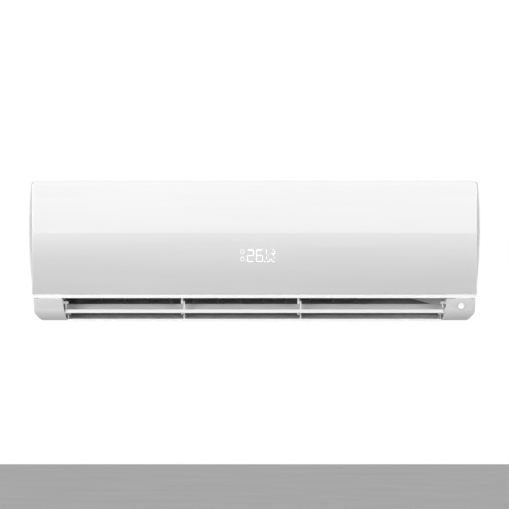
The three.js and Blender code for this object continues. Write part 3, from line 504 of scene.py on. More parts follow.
def prism(name, outline, x0, x1, material, bevel=0.0):
    """A side outline drawn out along X. A bevel takes back the edges of its two ends."""
    stations = [(x0, 0.0), (x1, 0.0)]
    if bevel:
        steps = 3
        arc = [math.pi / 2 * k / steps for k in range(steps + 1)]
        ends = [(bevel * (1 - math.sin(a)), bevel * (1 - math.cos(a))) for a in arc]
        stations = [(x0 + run, inset) for run, inset in reversed(ends)]
        stations += [(x1 - run, inset) for run, inset in ends]
    rings = []
    for x, inset in stations:
        ring = inset_outline(outline, inset) if inset else outline
        rings.append([at(x, d, z) for d, z in ring])
    return loft(name, rings, material)


def plate_shape(name, loop, d0, d1, material):
    """A front outline drawn out in depth."""
    return loft(name, [[at(x, d, z) for x, z in loop] for d in (d0, d1)], material)


def circle(u, v, radius, sides):
    turns = [2 * math.pi * i / sides for i in range(sides)]
    return [(u + radius * math.cos(angle), v + radius * math.sin(angle)) for angle in turns]


def rod(name, radius, x0, x1, centre, material, sides=32, bevel=0.0):
    """A round bar along X about a side point."""
    return prism(name, circle(*centre, radius, sides), x0, x1, material, bevel)


BRICK_FACES = ((0, 1, 3, 2), (4, 6, 7, 5), (0, 4, 5, 1), (2, 3, 7, 6), (0, 2, 6, 4), (1, 5, 7, 3))


def brick_corners(x0, x1, d0, d1, z0, z1):
    return [at(x, d, z) for x in (x0, x1) for d in (d0, d1) for z in (z0, z1)]


def brick(name, x0, x1, d0, d1, z0, z1, material, bevel=0.0):
    return make(name, brick_corners(x0, x1, d0, d1, z0, z1), BRICK_FACES, material, bevel)


def area(outline):
    """Signed area of a closed outline: above zero where it runs anticlockwise."""
    total = 0.0
    for (u0, v0), (u1, v1) in zip(outline, outline[1:] + outline[:1]):
        total += u0 * v1 - u1 * v0
    return total / 2


def inset_outline(outline, distance):
    """The closed outline moved inwards."""
    turn = 1 if area(outline) > 0 else -1
    moved = []
    count = len(outline)
    for i, (u, v) in enumerate(outline):
        u0, v0 = outline[i - 1]
        u1, v1 = outline[(i + 1) % count]
        a = Vector((u - u0, v - v0)).normalized()
        b = Vector((u1 - u, v1 - v)).normalized()
        mid = a + b
        if mid.length < 1e-6:
            mid = a
        mid.normalize()
        spread = max(0.5, a.dot(mid))
        moved.append((u - turn * mid.y * distance / spread, v + turn * mid.x * distance / spread))
    return moved


def offset(path, distance):
    """The points of an open path moved to its left."""
    moved = []
    for i, (u, v) in enumerate(path):
        u0, v0 = path[max(i - 1, 0)]
        u1, v1 = path[min(i + 1, len(path) - 1)]
        length = math.hypot(u1 - u0, v1 - v0)
        moved.append((u - distance * (v1 - v0) / length, v + distance * (u1 - u0) / length))
    return moved


def bezier(p0, p1, p2, p3, steps, t0=0.0, t1=1.0):
    """Points of a cubic curve from t0 to t1."""
    points = []
    for i in range(steps + 1):
        t = t0 + (t1 - t0) * i / steps
        s = 1 - t
        weights = (s ** 3, 3 * s * s * t, 3 * s * t * t, t ** 3)
        points.append(tuple(
            sum(w * p[axis] for w, p in zip(weights, (p0, p1, p2, p3))) for axis in (0, 1)
        ))
    return points


def quadratic(p0, p1, p2, steps):
    """Points of the curve from p0 to p2 with one control point."""
    c1 = tuple(a + (b - a) * 2 / 3 for a, b in zip(p0, p1))
    c2 = tuple(a + (b - a) * 2 / 3 for a, b in zip(p2, p1))
    return bezier(p0, c1, c2, p2, steps)


def between(a, b, share):
    return (a[0] + (b[0] - a[0]) * share, a[1] + (b[1] - a[1]) * share)


def depth_at(curve, z):
    """Depth of a curve of side points at a height."""
    for (d0, z0), (d1, z1) in zip(curve, curve[1:]):
        if min(z0, z1) <= z <= max(z0, z1):
            return d0 + (d1 - d0) * (z - z0) / (z1 - z0)
    return curve[0][0]


def side_faces(verts, column, back):
    """Faces from a shell's outermost column straight back to a rim on the back plane. The rim's
    points are added to verts, and their numbers come back before the faces."""
    heights = [verts[i].z for i in column]
    low = max(i for i, z in enumerate(heights) if z <= heights[0] + 1e-6)
    high = min(i for i, z in enumerate(heights) if z >= heights[-1] - 1e-6)
    inner = column[low + 1:high]
    rim = list(range(len(verts), len(verts) + len(inner)))
    verts += [Vector((verts[i].x, -back / 1000, verts[i].z)) for i in inner]
    faces = [(*column[:low + 1], inner[0], rim[0])]
    faces += [(rim[i], inner[i], inner[i + 1], rim[i + 1]) for i in range(len(inner) - 1)]
    faces.append((rim[-1], inner[-1], *column[high:]))
    return rim, faces


def swept_shell(name, path, back, half, radius, material, steps=6):
    """A closed body with a bowed front. The path runs from the back plane round the front to the
    back plane again, half(z) is the half width, and radius(d, z) rounds the edge to each side."""
    inward = offset(path, 1.0)
    normals = [Vector((q[0] - p[0], q[1] - p[1])) for p, q in zip(path, inward)]
    verts, grid = [], []
    for side in (-1, 1):
        for k in range(steps + 1):
            angle = math.pi / 2 * k / steps
            column = []
            for (d, z), normal in zip(path, normals):
                r = radius(d, z)
                x = half(z) - r * (1 - math.sin(angle))
                p = Vector((d, z)) + normal * r * (1 - math.cos(angle))
                column.append(len(verts))
                verts.append(at(side * x, p.x, p.y))
            grid.append(column)
    columns = grid[steps::-1] + grid[steps + 1:]
    faces = []
    for a, b in zip(columns, columns[1:]):
        for i in range(len(path) - 1):
            faces.append((a[i], b[i], b[i + 1], a[i + 1]))
    rims = []
    for column in (columns[0], columns[-1]):
        rim, side = side_faces(verts, column, back)
        rims.append(rim)
        faces += side
    bottom = [column[0] for column in columns]
    top = [column[-1] for column in columns]
    faces.append((*bottom, *rims[1], *reversed(top), *reversed(rims[0])))
    return make(name, verts, faces, material)


# ------------------------------------------------------------------ casing


def cheek_curve(steps, t0=0.0, t1=1.0):
    """The casing's lower front from the side, from under the panel down and back to the lip."""
    return bezier(CHEEK_TOP, (187, -122), (165, -138.5), LIP, steps, t0, t1)


CHEEK = cheek_curve(40)


def width_table():
    """Half width of the casing at each height, from the foot up."""
    wide, high = FOOT_CHAMFER
    foot = quadratic((FOOT_HALF - 2.5, CASING_FOOT), (FOOT_HALF, CASING_FOOT),
                     (FOOT_HALF + wide * 0.2, CASING_FOOT + high * 0.2), 5)
    foot += quadratic((FOOT_HALF + wide * 0.75, CASING_FOOT + high * 0.75),
                      (FOOT_HALF + wide, CASING_FOOT + high),
                      (FOOT_HALF + wide + 0.1, CASING_FOOT + high + 4), 6)
    shoulder = (SHOULDER_HALF, CASING_TOP - SHOULDER_CORNER)
    side = quadratic((WAIST_HALF, WAIST_Z), (BELLY_CONTROL, 20), shoulder, 40)
    top = quadratic(shoulder, (SHOULDER_HALF, CASING_TOP),
                    (SHOULDER_HALF - SHOULDER_CORNER, CASING_TOP), 10)
    return foot + side + top[1:]


WIDTHS = width_table()


def half_width(z):
    """Half width of the casing at a height."""
    if z <= WIDTHS[0][1]:
        return WIDTHS[0][0]
    for (x0, z0), (x1, z1) in zip(WIDTHS, WIDTHS[1:]):
        if z <= z1:
            return x0 + (x1 - x0) * (z - z0) / max(z1 - z0, 1e-9)
    return WIDTHS[-1][0]


def casing_path():
    """The casing's outside in side view, from the back of its foot round to that of its top."""
    cheek = list(reversed(cheek_curve(22)))
    front = [(CASING_FRONT, z) for z in (-80, -60, -40, -20, 0, 20, 40, 60, 80, 100, 118, 128)]
    crown = quadratic((CASING_FRONT, 132), (CASING_FRONT - 0.3, 135.2), (184.2, 135.5), 4)
    corner = quadratic((182.6, 136.5), (182.6, CASING_TOP), (180, CASING_TOP), 4)
    return [(CASING_BACK, CASING_FOOT), (60, CASING_FOOT), *cheek, *front, *crown, *corner,
            (100, CASING_TOP), (CASING_BACK, CASING_TOP)]


def hollow_half(z):
    """Half width of the inside. It stays clear of the rounded corners at top and foot."""
    foot, top = HOLLOW_FULL
    return half_width(z) - SKIN - (0.0 if foot <= z <= top else HOLLOW_CORNER)


def outlet_outline(clearance):
    """The outlet from the front. It narrows to the foot."""
    wide, narrow = OUTLET_HALF_TOP - clearance, OUTLET_HALF_FOOT - clearance
    top, foot = WAIST_Z + 0.3, CASING_FOOT - 2
    return [(-wide, top), (-narrow, foot), (narrow, foot), (wide, top)]


def cheek_patch(name, wide, high, point, profile, material):
    """A closed body on the curved cheek, round the receiver's middle. `point` draws its ends out
    to the tips of an eye."""
    sides = 48
    x0, z0 = RECEIVER_AT
    verts = []
    for scale, height in profile:
        for i in range(sides):
            angle = 2 * math.pi * i / sides
            x = x0 + wide * scale * math.cos(angle)
            z = z0 + high * scale * math.sin(angle) * abs(math.sin(angle)) ** point
            verts.append(at(x, depth_at(CHEEK, z) + height, z))
    last, middle = len(verts) - sides, len(verts)
    verts.append(at(x0, depth_at(CHEEK, z0) + profile[-1][1] * 1.02, z0))
    faces = [tuple(range(sides)), *bands(sides, len(profile))]
    faces += [(last + i, last + (i + 1) % sides, middle) for i in range(sides)]
    return make(name, verts, faces, material)


def score_lines():
    """Cutters for the thin grooves that mark the pipe openings in the two sides. Each is a tool of
    its own, because a tool that overlaps itself would take the whole side away."""
    d0, d1, z0, z1 = KNOCK_OUT
    steps, reach = 8, 12
    cutters = []
    for side in (-1, 1):
        rings = []
        for i in range(steps + 1):
            z = z0 + (z1 + SCORE_WIDTH - z0) * i / steps
            near, far = half_width(z) - SCORE_DEPTH, half_width(z) + reach
            corners = ((near, d1), (far, d1), (far, d1 + SCORE_WIDTH), (near, d1 + SCORE_WIDTH))
            rings.append([at(side * x, d, z) for x, d in corners])
        cutters.append(loft("upright", rings, CASING))
        near = half_width(z1) - SCORE_DEPTH
        x0, x1 = sorted((side * near, side * (near + reach)))
        cutters.append(brick("level", x0, x1, d0 - 4, d1 + SCORE_WIDTH / 2, z1, z1 + SCORE_WIDTH,
                             CASING))
    return cutters


def casing_shell():
    """The casing with its hollow and the tray under the intake, before any opening is cut."""
    body = swept_shell("casing", casing_path(), CASING_BACK, half_width, lambda d, z: CASING_EDGE,
                       CASING)
    back, front, top = CASING_BACK - 4, CASING_FRONT - SKIN, CASING_TOP - SKIN
    path = [(back, CASING_FOOT + SKIN), *offset(list(reversed(cheek_curve(16))), SKIN),
            (front, -80), (front, 0), (front, 60), (front, 129), (180.1, 133), (180.1, top),
            (back, top)]
    boolean(body, [swept_shell("hollow", path, back, hollow_half, lambda d, z: 2.0, CASING, 3)])
    tray = brick("tray", -INTAKE_HALF - 4, INTAKE_HALF + 4, INTAKE_BACK - 4, INTAKE_FRONT + 4,
                 INTAKE_FOOT, CASING_TOP - 0.5, CASING)
    return boolean(body, [tray], "UNION")


def casing_openings():
    """Cutters for the filters' seat, service windows, outlet, strip's bed, button and receiver."""
    cuts = [brick("seat", -INTAKE_HALF, INTAKE_HALF, INTAKE_BACK, INTAKE_FRONT, INTAKE_SEAT,
                  CASING_TOP + 1, CASING)]
    for x0, x1 in SERVICE_WINDOWS_X:
        cuts.append(brick("window", x0, x1, *THROUGH_FRONT, *SERVICE_WINDOWS_Z, CASING))
    cuts.append(plate_shape("outlet", outlet_outline(0), *OUTLET_DEPTHS, CASING))
    cuts.append(brick("recess", -470, 470, CASING_FRONT - STRIP_BED, 200, WAIST_Z + 0.2,
                      PANEL_BOTTOM + 0.4, CASING))
    button = circle(*BUTTON_AT, BUTTON_HOLE, 40)
    cuts.append(plate_shape("button_hole", button, *THROUGH_FRONT, CASING))
    cuts.append(cheek_patch("eye_recess", 11.4, 7.6, 0.35, RECEIVER_BED, CASING))
    return cuts


def intake_slots():
    """One cutter with all slots of the intake grille."""
    slots = []
    width = (INTAKE_HALF - FILTER_SPLIT) / SLOT_COLUMNS
    pitch = (INTAKE_FRONT - INTAKE_BACK - 4) / SLOT_ROWS
    for column in range(-SLOT_COLUMNS, SLOT_COLUMNS):
        x = column * width + (-FILTER_SPLIT if column < 0 else FILTER_SPLIT)
        for row in range(SLOT_ROWS):
            d = INTAKE_BACK + 2 + pitch * row
            slots.append(brick("slot", x + 2.5, x + width - 2.5, d + 2, d + pitch - 2,
                               INTAKE_FOOT - 1, INTAKE_SEAT + 1, CASING))
    return joined("slots", slots)


def hinge_ear(outline, x, half, radius, material):
    """An ear on the line of the panel's hinges, with its eye."""
    return joined("ear", [
        prism("web", outline, x - half, x + half, material),
        rod("boss", radius, x - half, x + half, PANEL_HINGE, material, bevel=0.3),
    ])


def build_casing():
    body = casing_shell()
    boolean(body, casing_openings())
    boolean(body, score_lines())
    boolean(body, [intake_slots()])
    ears = [hinge_ear(CASING_EAR, x, 2.0, 3.6, CASING) for x in PANEL_HINGES_X]
    return joined("casing_moulding", [body, *ears])


casing = build_casing()
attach(casing, "unit")
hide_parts("front_frame")

# ------------------------------------------------------------------ screws and receiver

HEAD_PROFILE = ((1.0, 0.0), (1.0, 0.25), (0.8, 0.5), (0.45, 0.6))


def screw_heads(name, places, radius, body):
    """Pan heads with a cross recess, all facing the room."""
    heads = []
    thin, long = radius * 0.12, radius * 0.55
    for x, d, z in places:
        rings = [[at(u, d + radius * rise, v) for u, v in circle(x, z, radius * scale, 20)]
                 for scale, rise in HEAD_PROFILE]
        slots = [brick("slot", x - a, x + a, d + radius * 0.3, d + radius, z - b, z + b, STEEL)
                 for a, b in ((thin, long), (long, thin))]
        heads.append(boolean(loft("head", rings, STEEL), slots))
    screws = joined(name, heads)
    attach(screws, body)


screw_heads("casing_screws", [(x, CASING_FRONT, -50) for x in (-300, 0, 300)], 3.4, "unit")
screw_heads("box_screws", [(x, 152.4, z) for x in (357, 425) for z in (-17, 107)], 2.6, "unit")

lens = cheek_patch("receiver_eye", 6.5, 6.4, 0.0, RECEIVER_DOME, WINDOW)
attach(lens, "unit")
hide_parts("receiver_lens")

# ------------------------------------------------------------------ front panel


def panel_curve():
    """The bowed face from its foot up: a long lower sweep, a soft crease and the crown."""
    crown = quadratic((190.5, PANEL_TOP), (199.2, PANEL_TOP), PANEL_SHOULDER, 12)
    upper = quadratic(PANEL_SHOULDER, (204.2, 82), CREASE, 16)
    lower = quadratic(CREASE, (202.6, -20), (189.5, PANEL_BOTTOM), 24)
    upper.insert(-1, between(upper[-2], CREASE, 0.85))
    lower.insert(1, between(CREASE, lower[1], 0.15))
    return list(reversed(crown + upper[1:] + lower[1:]))


PANEL_FACE = panel_curve()


def panel_half(z):
    """Half width of the panel, with its rounded upper corners."""
    wide, high = PANEL_CORNER
    rise = z - (PANEL_TOP - high)
    if rise <= 0:
        return PANEL_HALF
    return PANEL_HALF - wide + wide * math.sqrt(max(0.0, 1 - (rise / high) ** 2))


def panel_radius(d, z):
    """Rounding of the panel's side edges. It fades out towards the back."""
    return max(0.6, min(4.0, (d - PANEL_BACK) * 0.55))


def panel_shell():
    """The panel with its hollow back."""
    path = [(PANEL_BACK, PANEL_BOTTOM), (188.8, PANEL_BOTTOM), *PANEL_FACE,
            (PANEL_BACK, PANEL_TOP)]
    body = swept_shell("panel", path, PANEL_BACK, panel_half, panel_radius, PANEL)
    inside = [(d, z) for d, z in offset(PANEL_FACE, PANEL_WALL)
              if d > PANEL_BACK - 0.5 and z > PANEL_BOTTOM + 2.5]
    back, top = PANEL_BACK - 6, PANEL_SHOULDER[1]
    hollow = [(back, inside[0][1]), *inside, (190.5, top), (back, top)]
    reach = PANEL_HALF - PANEL_WALL
    return boolean(body, [prism("hollow", hollow, -reach, reach, PANEL)])


def build_panel():
    parts = [panel_shell()]
    for hinge in PANEL_HINGES_X:
        ends = (hinge - HINGE_GAP, hinge + HINGE_GAP)
        parts += [hinge_ear(PANEL_EAR, x, 1.5, 3.2, PANEL) for x in ends]
        parts.append(rod("pin", PIN_RADIUS, *ends, PANEL_HINGE, PANEL))
    return joined("panel_moulding", parts)


panel = build_panel()
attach(panel, "panel")
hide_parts("front_panel")

strip = prism("bright_strip", STRIP_OUTLINE, -STRIP_HALF, STRIP_HALF, STRIP, 0.6)
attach(strip, "panel")
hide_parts("panel_trim_strip")

# ------------------------------------------------------------------ display seen through the panel


def on_face(name, loop):
    """A flat shape laid on the panel's face and standing a little proud of it."""
    count = len(loop)
    centre = (sum(x for x, z in loop) / count, sum(z for x, z in loop) / count)
    verts = [at(x, depth_at(PANEL_FACE, z) + SEGMENT_PROUD, z) for x, z in loop]
    verts += [at(x, depth_at(PANEL_FACE, z) - SEGMENT_SUNK, z) for x, z in loop]
    verts.append(at(centre[0], depth_at(PANEL_FACE, centre[1]) + SEGMENT_PROUD, centre[1]))
    faces = []
    for i in range(count):
        j = (i + 1) % count
        faces += [(i, j, 2 * count), (i, j, count + j, count + i)]
    faces.append(tuple(range(count, 2 * count)))
    return make(name, verts, faces, LIGHT)


def bar(x0, z0, x1, z1, width):
    """A stroke with pointed ends between two points."""
    a, b = Vector((x0, z0)), Vector((x1, z1))
    along = (b - a).normalized()
    side = Vector((-along.y, along.x)) * width / 2
    tip = along * width / 2
    return [tuple(a), tuple(a + tip + side), tuple(b - tip + side), tuple(b),
            tuple(b - tip - side), tuple(a + tip - side)]


def dot(x, z, radius):
    return circle(x, z, radius, 14)


DIGIT_SEGMENTS = {"2": "abged", "6": "afgedc"}


def digit(character, x):
    """Seven-segment figure with its left side at x. Its top stroke is the heavy one."""
    low, high, gap = DIGIT_LOW, DIGIT_HIGH, SEGMENT_GAP
    mid = (low + high) / 2 + 0.4
    right = x + DIGIT_WIDE
    strokes = {
        "a": (x + gap, high, right - gap, high),
        "b": (right, high - gap, right, mid + gap),
        "c": (right, mid - gap, right, low + gap),
        "d": (x + gap, low, right - gap, low),
        "e": (x, mid - gap, x, low + gap),
        "f": (x, high - gap, x, mid + gap),
        "g": (x + gap, mid, right - gap, mid),
    }
    return [bar(*strokes[key], DIGIT_CAP if key == "a" else DIGIT_STROKE)
            for key in DIGIT_SEGMENTS[character]]


def ring_marks(x, z, radius, count):
    """Small lit marks set round a ring, as on a mode symbol."""
    marks = []
    reach = 2 * math.pi / count * 0.32
    for i in range(count):
        angle = 2 * math.pi * (i + 0.5) / count
        start, end = [(x + radius * math.cos(turn), z + radius * math.sin(turn))
                      for turn in (angle - reach, angle + reach)]
        marks.append(bar(*start, *end, 1.1))
    return marks


display = [
    *digit("2", -14.0), *digit("6", 4.0), dot(20.2, -21.6, 1.3),
    *ring_marks(-24.2, -1.6, 3.9, 6), *ring_marks(-24.2, -16.0, 3.9, 5),
    bar(24.0, 3.0, 24.0, -5.6, 1.3), bar(27.2, -6.4, 27.2, -9.0, 1.0),
    bar(24.0, -11.2, 24.0, -16.6, 1.3), bar(30.4, -16.4, 30.4, -20.0, 1.3),
    bar(25.0, -21.4, 29.6, -21.4, 1.3),
    bar(35.6, 3.0, 39.0, 1.6, 1.1), dot(40.2, -1.0, 1.1), bar(33.0, -5.2, 42.0, -5.2, 1.1),
    bar(37.6, -5.6, 37.0, -10.6, 1.1), dot(40.2, -13.4, 1.0),
    bar(34.2, -14.6, 34.2, -19.4, 1.2), bar(35.4, -21.4, 40.4, -21.4, 1.2),
]
segments = joined("display_segments", [
    on_face(f"segment_{i}", loop) for i, loop in enumerate(display)
])
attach(segments, "panel")

# ------------------------------------------------------------------ flaps


def round_corner(before, corner, after, size, steps=5):
    """A corner taken off by a curve between its neighbours."""
    start, end = [between(corner, point, size / math.dist(corner, point))
                  for point in (before, after)]
    return quadratic(start, corner, end, steps)


def flap_section(t0, t1, nose):
    """A shut flap's section: the outer face follows the casing, the inner swells to the nose."""
    steps = 28
    outer = cheek_curve(steps, t0, t1)
    inwards = offset(outer, -1)
    inner = []
    for i, ((u, v), (p, q)) in enumerate(zip(outer, inwards)):
        thick = FLAP_THICK + (nose - FLAP_THICK) * (1 - i / steps) ** 1.6
        inner.append((u + (p - u) * thick, v + (q - v) * thick))
    front = round_corner(inner[0], outer[0], outer[2], 1.4)
    crown = round_corner(inner[2], inner[0], outer[0], 2.0)
    tail = round_corner(outer[-2], outer[-1], inner[-1], 0.9, 3)
    tail += round_corner(outer[-1], inner[-1], inner[-2], 0.9, 3)
    return front + outer[2:-1] + tail + list(reversed(inner[2:-1])) + crown


def flap_arm(x, foot, radius, sides):
    """An arm from the pivot down to the blade, and the eye at its head."""
    outline = [(-radius, 0), (foot[0] - ARM_SPREAD, foot[1]), (foot[0] + ARM_SPREAD, foot[1]),
               (radius, 0)]
    return [prism("ear", outline, x, x + ARM_WIDTH, ARM, 0.4),
            rod("boss", radius, x, x + ARM_WIDTH, (0, 0), ARM, sides, 0.4)]


def build_flap(name, span, nose, half, pivot, foot, angle):
    """A flap made shut, about its pivot, and then turned open. `foot` is where its arms end."""
    blade = prism("blade", flap_section(*span, nose), -half, half, FLAP, 0.5)
    boolean(blade, [plate_shape("ends", outlet_outline(1.5), *OUTLET_DEPTHS, FLAP)], "INTERSECT")
    blade.data.transform(Matrix.Translation(-at(0, *pivot)))
    parts = [blade]
    for x in (-half, half - ARM_WIDTH):
        parts += flap_arm(x, foot, END_EYE, 28)
    for x in HANGERS_X:
        parts += flap_arm(x + 2.8, foot, HANGER_EYE, 24)
    for x in HANGERS_X:
        parts.append(rod("pin", PIN_RADIUS, x - 2.4, x + 3, (0, 0), ARM, 20, 0.3))
    reach = BRACKET_FACE + 2.9
    for x0, x1 in ((-reach, -half + 6.5), (half - 6.5, reach)):
        parts.append(rod("trunnion", TRUNNION_RADIUS, x0, x1, (0, 0), ARM, 24, 0.4))
    flap = joined(name, parts)
    turn = Matrix.Rotation(angle, 4, "X")
    flap.data.transform(Matrix.Translation(at(0, *pivot)) @ turn)
    return flap


upper = build_flap("upper_flap_blade", UPPER_SPAN, UPPER_NOSE, UPPER_HALF, UPPER_PIVOT,
                   UPPER_FOOT, UPPER_OPEN)
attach(upper, "upper_flap_body")
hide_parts("upper_flap")
lower = build_flap("lower_flap_blade", LOWER_SPAN, LOWER_NOSE, LOWER_HALF, LOWER_PIVOT,
                   LOWER_FOOT, LOWER_OPEN)
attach(lower, "lower_flap_body")
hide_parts("lower_flap")

# ------------------------------------------------------------------ air filters


def build_filter(side):
    """A filter frame with its ribs and bars, the grip at the front and the threads of the net."""
    x0, x1 = FILTER_SPLIT / 2, INTAKE_HALF - FILTER_GAP
    foot, top = INTAKE_SEAT + FILTER_GAP, CASING_TOP - 0.4
    back, front = INTAKE_BACK + FILTER_GAP, INTAKE_FRONT - FILTER_GAP
    middle, grip = (foot + top) / 2, (x0 + x1) / 2
    parts = []

    def add(kind, a, b, d0, d1, z0, z1, bevel=0.0):
        left, right = (a, b) if side > 0 else (-b, -a)
        parts.append(brick(kind, left, right, d0, d1, z0, z1, NET, bevel))

    for a, b in ((x0, x0 + FILTER_EDGE), (x1 - FILTER_EDGE, x1)):
        add("side", a, b, back, front, foot, top, 0.5)
    for d0, d1 in ((back, back + FILTER_RAIL), (93.5, 96.5), (front - FILTER_RAIL, front)):
        add("rail", x0 + 1, x1 - 1, d0, d1, foot, top, 0.5)
    pitch = (x1 - x0 - 6) / FILTER_BAYS
    for i in range(1, FILTER_BAYS):
        x = x0 + 4.5 + pitch * i
        add("rib", x - 1.4, x + 1.4, back + 2, front - 2, foot + 0.2, top - 0.2, 0.4)
    for i in range(FILTER_BAYS * 3):
        if i % 3:
            x = x0 + 4.5 + pitch * i / 3 + (0.5 if i % 3 == 1 else -0.5)
            add("bar", x - 0.7, x + 0.7, back + 4, front - 4, middle - 0.4, middle + 0.4)
    for d in (back + 34.6, front - 35.1):
        add("bar", x0 + 4, x1 - 4, d - 0.7, d + 0.7, middle - 0.4, middle + 0.4)
    add("grip", grip - 24, grip + 24, front - 5, front, top - 1, top + 1.2, 0.5)
    count = int((x1 - x0 - 8) / THREAD_STEP)
    for i in range(count):
        x = x0 + 4 + (x1 - x0 - 8) * (i + 0.5) / count
        add("warp", x - THREAD_HALF, x + THREAD_HALF, back + 3, front - 3, middle - 0.25,
            middle + 0.2)
    count = int((front - back - 8) / THREAD_STEP)
    for i in range(count):
        d = back + 4 + (front - back - 8) * (i + 0.5) / count
        add("weft", x0 + 3, x1 - 3, d - THREAD_HALF, d + THREAD_HALF, middle - 0.05,
            middle + 0.4)
    return joined(f"net_filter_{'right' if side > 0 else 'left'}", parts)


for side, word in ((-1, "left"), (1, "right")):
    piece = build_filter(side)
    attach(piece, f"filter_{word}")
    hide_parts(f"air_filter_{word}")

# ------------------------------------------------------------------ coil fins


def build_slab(name, start, end):
    """A stack of thin fins. Their collars sleeve the tubes that run through them."""
    run = Vector((end[0] - start[0], end[1] - start[1]))
    deep, high = SLAB_THICK / 2 - 0.2, run.length / 2
    verts, faces = [], []
    for i in range(FINS):
        x = COIL_LEFT + 0.6 + (COIL_RIGHT - COIL_LEFT - 1.2) * i / (FINS - 1)
        faces += [tuple(len(verts) + k for k in face) for face in BRICK_FACES]
        verts += brick_corners(x - FIN_HALF, x + FIN_HALF, -deep, deep, -high, high)
    parts = [make("fins", verts, faces, FOIL)]
    rows = max(2, round(run.length / TUBE_PITCH))
    for row in range(rows):
        z = -high + run.length * (row + 0.5) / rows
        for d in TUBE_ROWS:
            parts.append(rod("collars", COLLAR_RADIUS, COIL_LEFT, COIL_RIGHT, (d, z), FOIL, 14))
    slab = joined(name, parts)
    middle = at(0, (start[0] + end[0]) / 2, (start[1] + end[1]) / 2)
    tilt = math.atan2(run.x, run.y)
    slab.data.transform(Matrix.Translation(middle) @ Matrix.Rotation(tilt, 4, "X"))
    return slab


for node, (start, end) in SLABS.items():
    slab = build_slab(node.replace("coil_", "fins_"), start, end)
    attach(slab, "unit")
    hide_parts(node)

# ------------------------------------------------------------------ stage, light and camera
# From here on in metres.

# The world's grey at each elevation in degrees, and its grey behind the object.
WORLD_LEVELS = ((-50, 0.16), (-10, 0.21), (15, 0.27), (45, 0.3), (90, 0.4))
WORLD_BACK = 0.75

FLOOR_HEIGHT = -2.1
FLOOR_SIDE, FLOOR_FRONT, FLOOR_BACK = 45.0, -14.0, 45.0

# Name, place, size, watts, spread in degrees, and whether gloss shows the lamp.
LAMPS = (
    ("low", (-0.2, -0.75, -2.0), (2.4, 0.9), 14, 180, True),
    ("left", (-3.3, -3.2, 0.6), (2.6, 1.4), 20, 70, False),
    ("right", (3.3, -3.2, 0.6), (2.6, 1.4), 15, 70, False),
    ("left_side", (-4.5, 0.1, 0.3), (1.2, 0.8), 6, 70, False),
    ("right_side", (4.5, 0.1, 0.3), (1.2, 0.8), 6, 70, False),
)
LAMPS_AIM = (0, -0.15, -0.1)

PHOTO_SIDE = 509
PIXEL = 0.001996
SENSOR = 36.0
CAMERA_DISTANCE = 10.0
CAMERA_AIM = (0.0, -0.19, -0.007)


def stage_material():
    """Pale floor that can be looked through from below."""
    s = Shader("studio_floor")
    s.set(
        Base_Color=s.tone(s.noise(1.5, 2.0), (0.66, 0.66, 0.66), (0.7, 0.7, 0.7)),
        Roughness=0.8,
        Specular_IOR_Level=0.1,
    )
    below = s.node("ShaderNodeNewGeometry").outputs["Backfacing"]
    clear = s.node("ShaderNodeBsdfTransparent").outputs[0]
    mix = s.node("ShaderNodeMixShader", {0: below, 1: s.base.outputs[0], 2: clear})
    fill(s.tree, s.out, {"Surface": mix.outputs[0]})
    return s.material


def build_stage():
    corners = ((-FLOOR_SIDE, FLOOR_FRONT), (FLOOR_SIDE, FLOOR_FRONT), (FLOOR_SIDE, FLOOR_BACK),
               (-FLOOR_SIDE, FLOOR_BACK))
    verts = [(x, y, FLOOR_HEIGHT) for x, y in corners]
    floor = make("studio_floor", verts, [(0, 1, 2, 3)], stage_material())


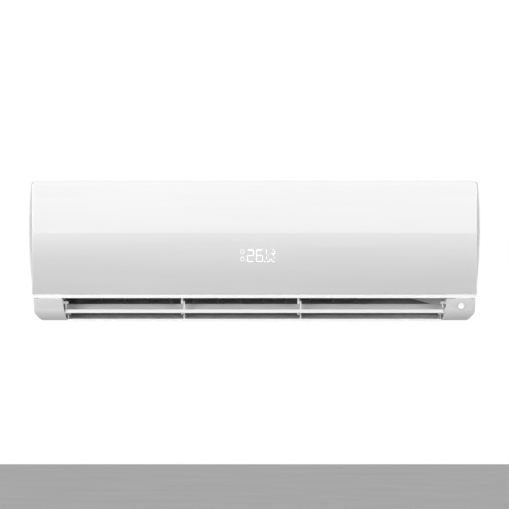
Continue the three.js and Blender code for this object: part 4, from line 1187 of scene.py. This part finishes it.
def build_world():
    """White to the eye and in gloss. What it sheds on the object is softer in front."""
    world = bpy.data.worlds.new("studio")
    bpy.context.scene.world = world
    world.use_nodes = True
    tree = world.node_tree
    tree.nodes.clear()

    def node(kind, inputs=None, **settings):
        return add_node(tree, kind, inputs, **settings).outputs

    way = node("ShaderNodeTexCoord")["Generated"]
    split = node("ShaderNodeSeparateXYZ", {0: way})
    rise = node("ShaderNodeMapRange", {"Value": split["Z"], "From Min": -1.0, "From Max": 1.0})
    ramp = add_node(tree, "ShaderNodeValToRGB", {"Fac": rise[0]})
    stops = ramp.color_ramp.elements
    while len(stops) < len(WORLD_LEVELS):
        stops.new(0.5)
    for stop, (elevation, value) in zip(stops, WORLD_LEVELS):
        stop.position = 0.5 + 0.5 * math.sin(math.radians(elevation))
        stop.color = (value, value, value, 1)
    behind = node("ShaderNodeMapRange", {"Value": split["Y"], "From Min": -0.1, "From Max": 0.2})
    level = node("ShaderNodeMixRGB", {"Fac": behind[0], "Color1": ramp.outputs["Color"],
                                      "Color2": (WORLD_BACK, WORLD_BACK, WORLD_BACK, 1)})
    studio = node("ShaderNodeBackground", {"Color": level[0], "Strength": 1.0})
    white = node("ShaderNodeBackground", {"Color": (1, 1, 1, 1), "Strength": 1.0})
    rays = node("ShaderNodeLightPath")
    gloss = node("ShaderNodeMath", {0: rays["Is Glossy Ray"], 1: rays["Is Transmission Ray"]},
                 operation="MAXIMUM")
    seen = node("ShaderNodeMath", {0: rays["Is Camera Ray"], 1: gloss[0]}, operation="MAXIMUM")
    shown = node("ShaderNodeMixShader", {0: seen[0], 1: studio[0], 2: white[0]})
    node("ShaderNodeOutputWorld", {"Surface": shown[0]})


def build_lights():
    """Area lamps, none of them seen by the camera."""
    for name, place, size, power, spread, gleam in LAMPS:
        data = bpy.data.lights.new(name, "AREA")
        data.shape = "RECTANGLE"
        data.size, data.size_y = size
        data.energy = power
        data.spread = math.radians(spread)
        lamp = linked(name, data)
        lamp.location = place
        aim = Vector(LAMPS_AIM) - Vector(place)
        lamp.rotation_euler = aim.to_track_quat("-Z", "Y").to_euler()
        lamp.visible_camera = False
        lamp.visible_glossy = gleam


def build_camera():
    """The photograph's view: level, square on, with the unit a little above its middle."""
    x, y, z = CAMERA_AIM
    data = bpy.data.cameras.new("camera")
    data.sensor_width = SENSOR
    data.lens = SENSOR * CAMERA_DISTANCE / (PHOTO_SIDE * PIXEL)
    data.clip_end = 50
    camera = linked("camera", data)
    camera.location = (x, y - CAMERA_DISTANCE, z)
    camera.rotation_euler = (math.pi / 2, 0, 0)
    bpy.context.scene.camera = camera


build_stage()
build_world()
build_lights()
build_camera()
bpy.context.scene.view_settings.view_transform = "Standard"
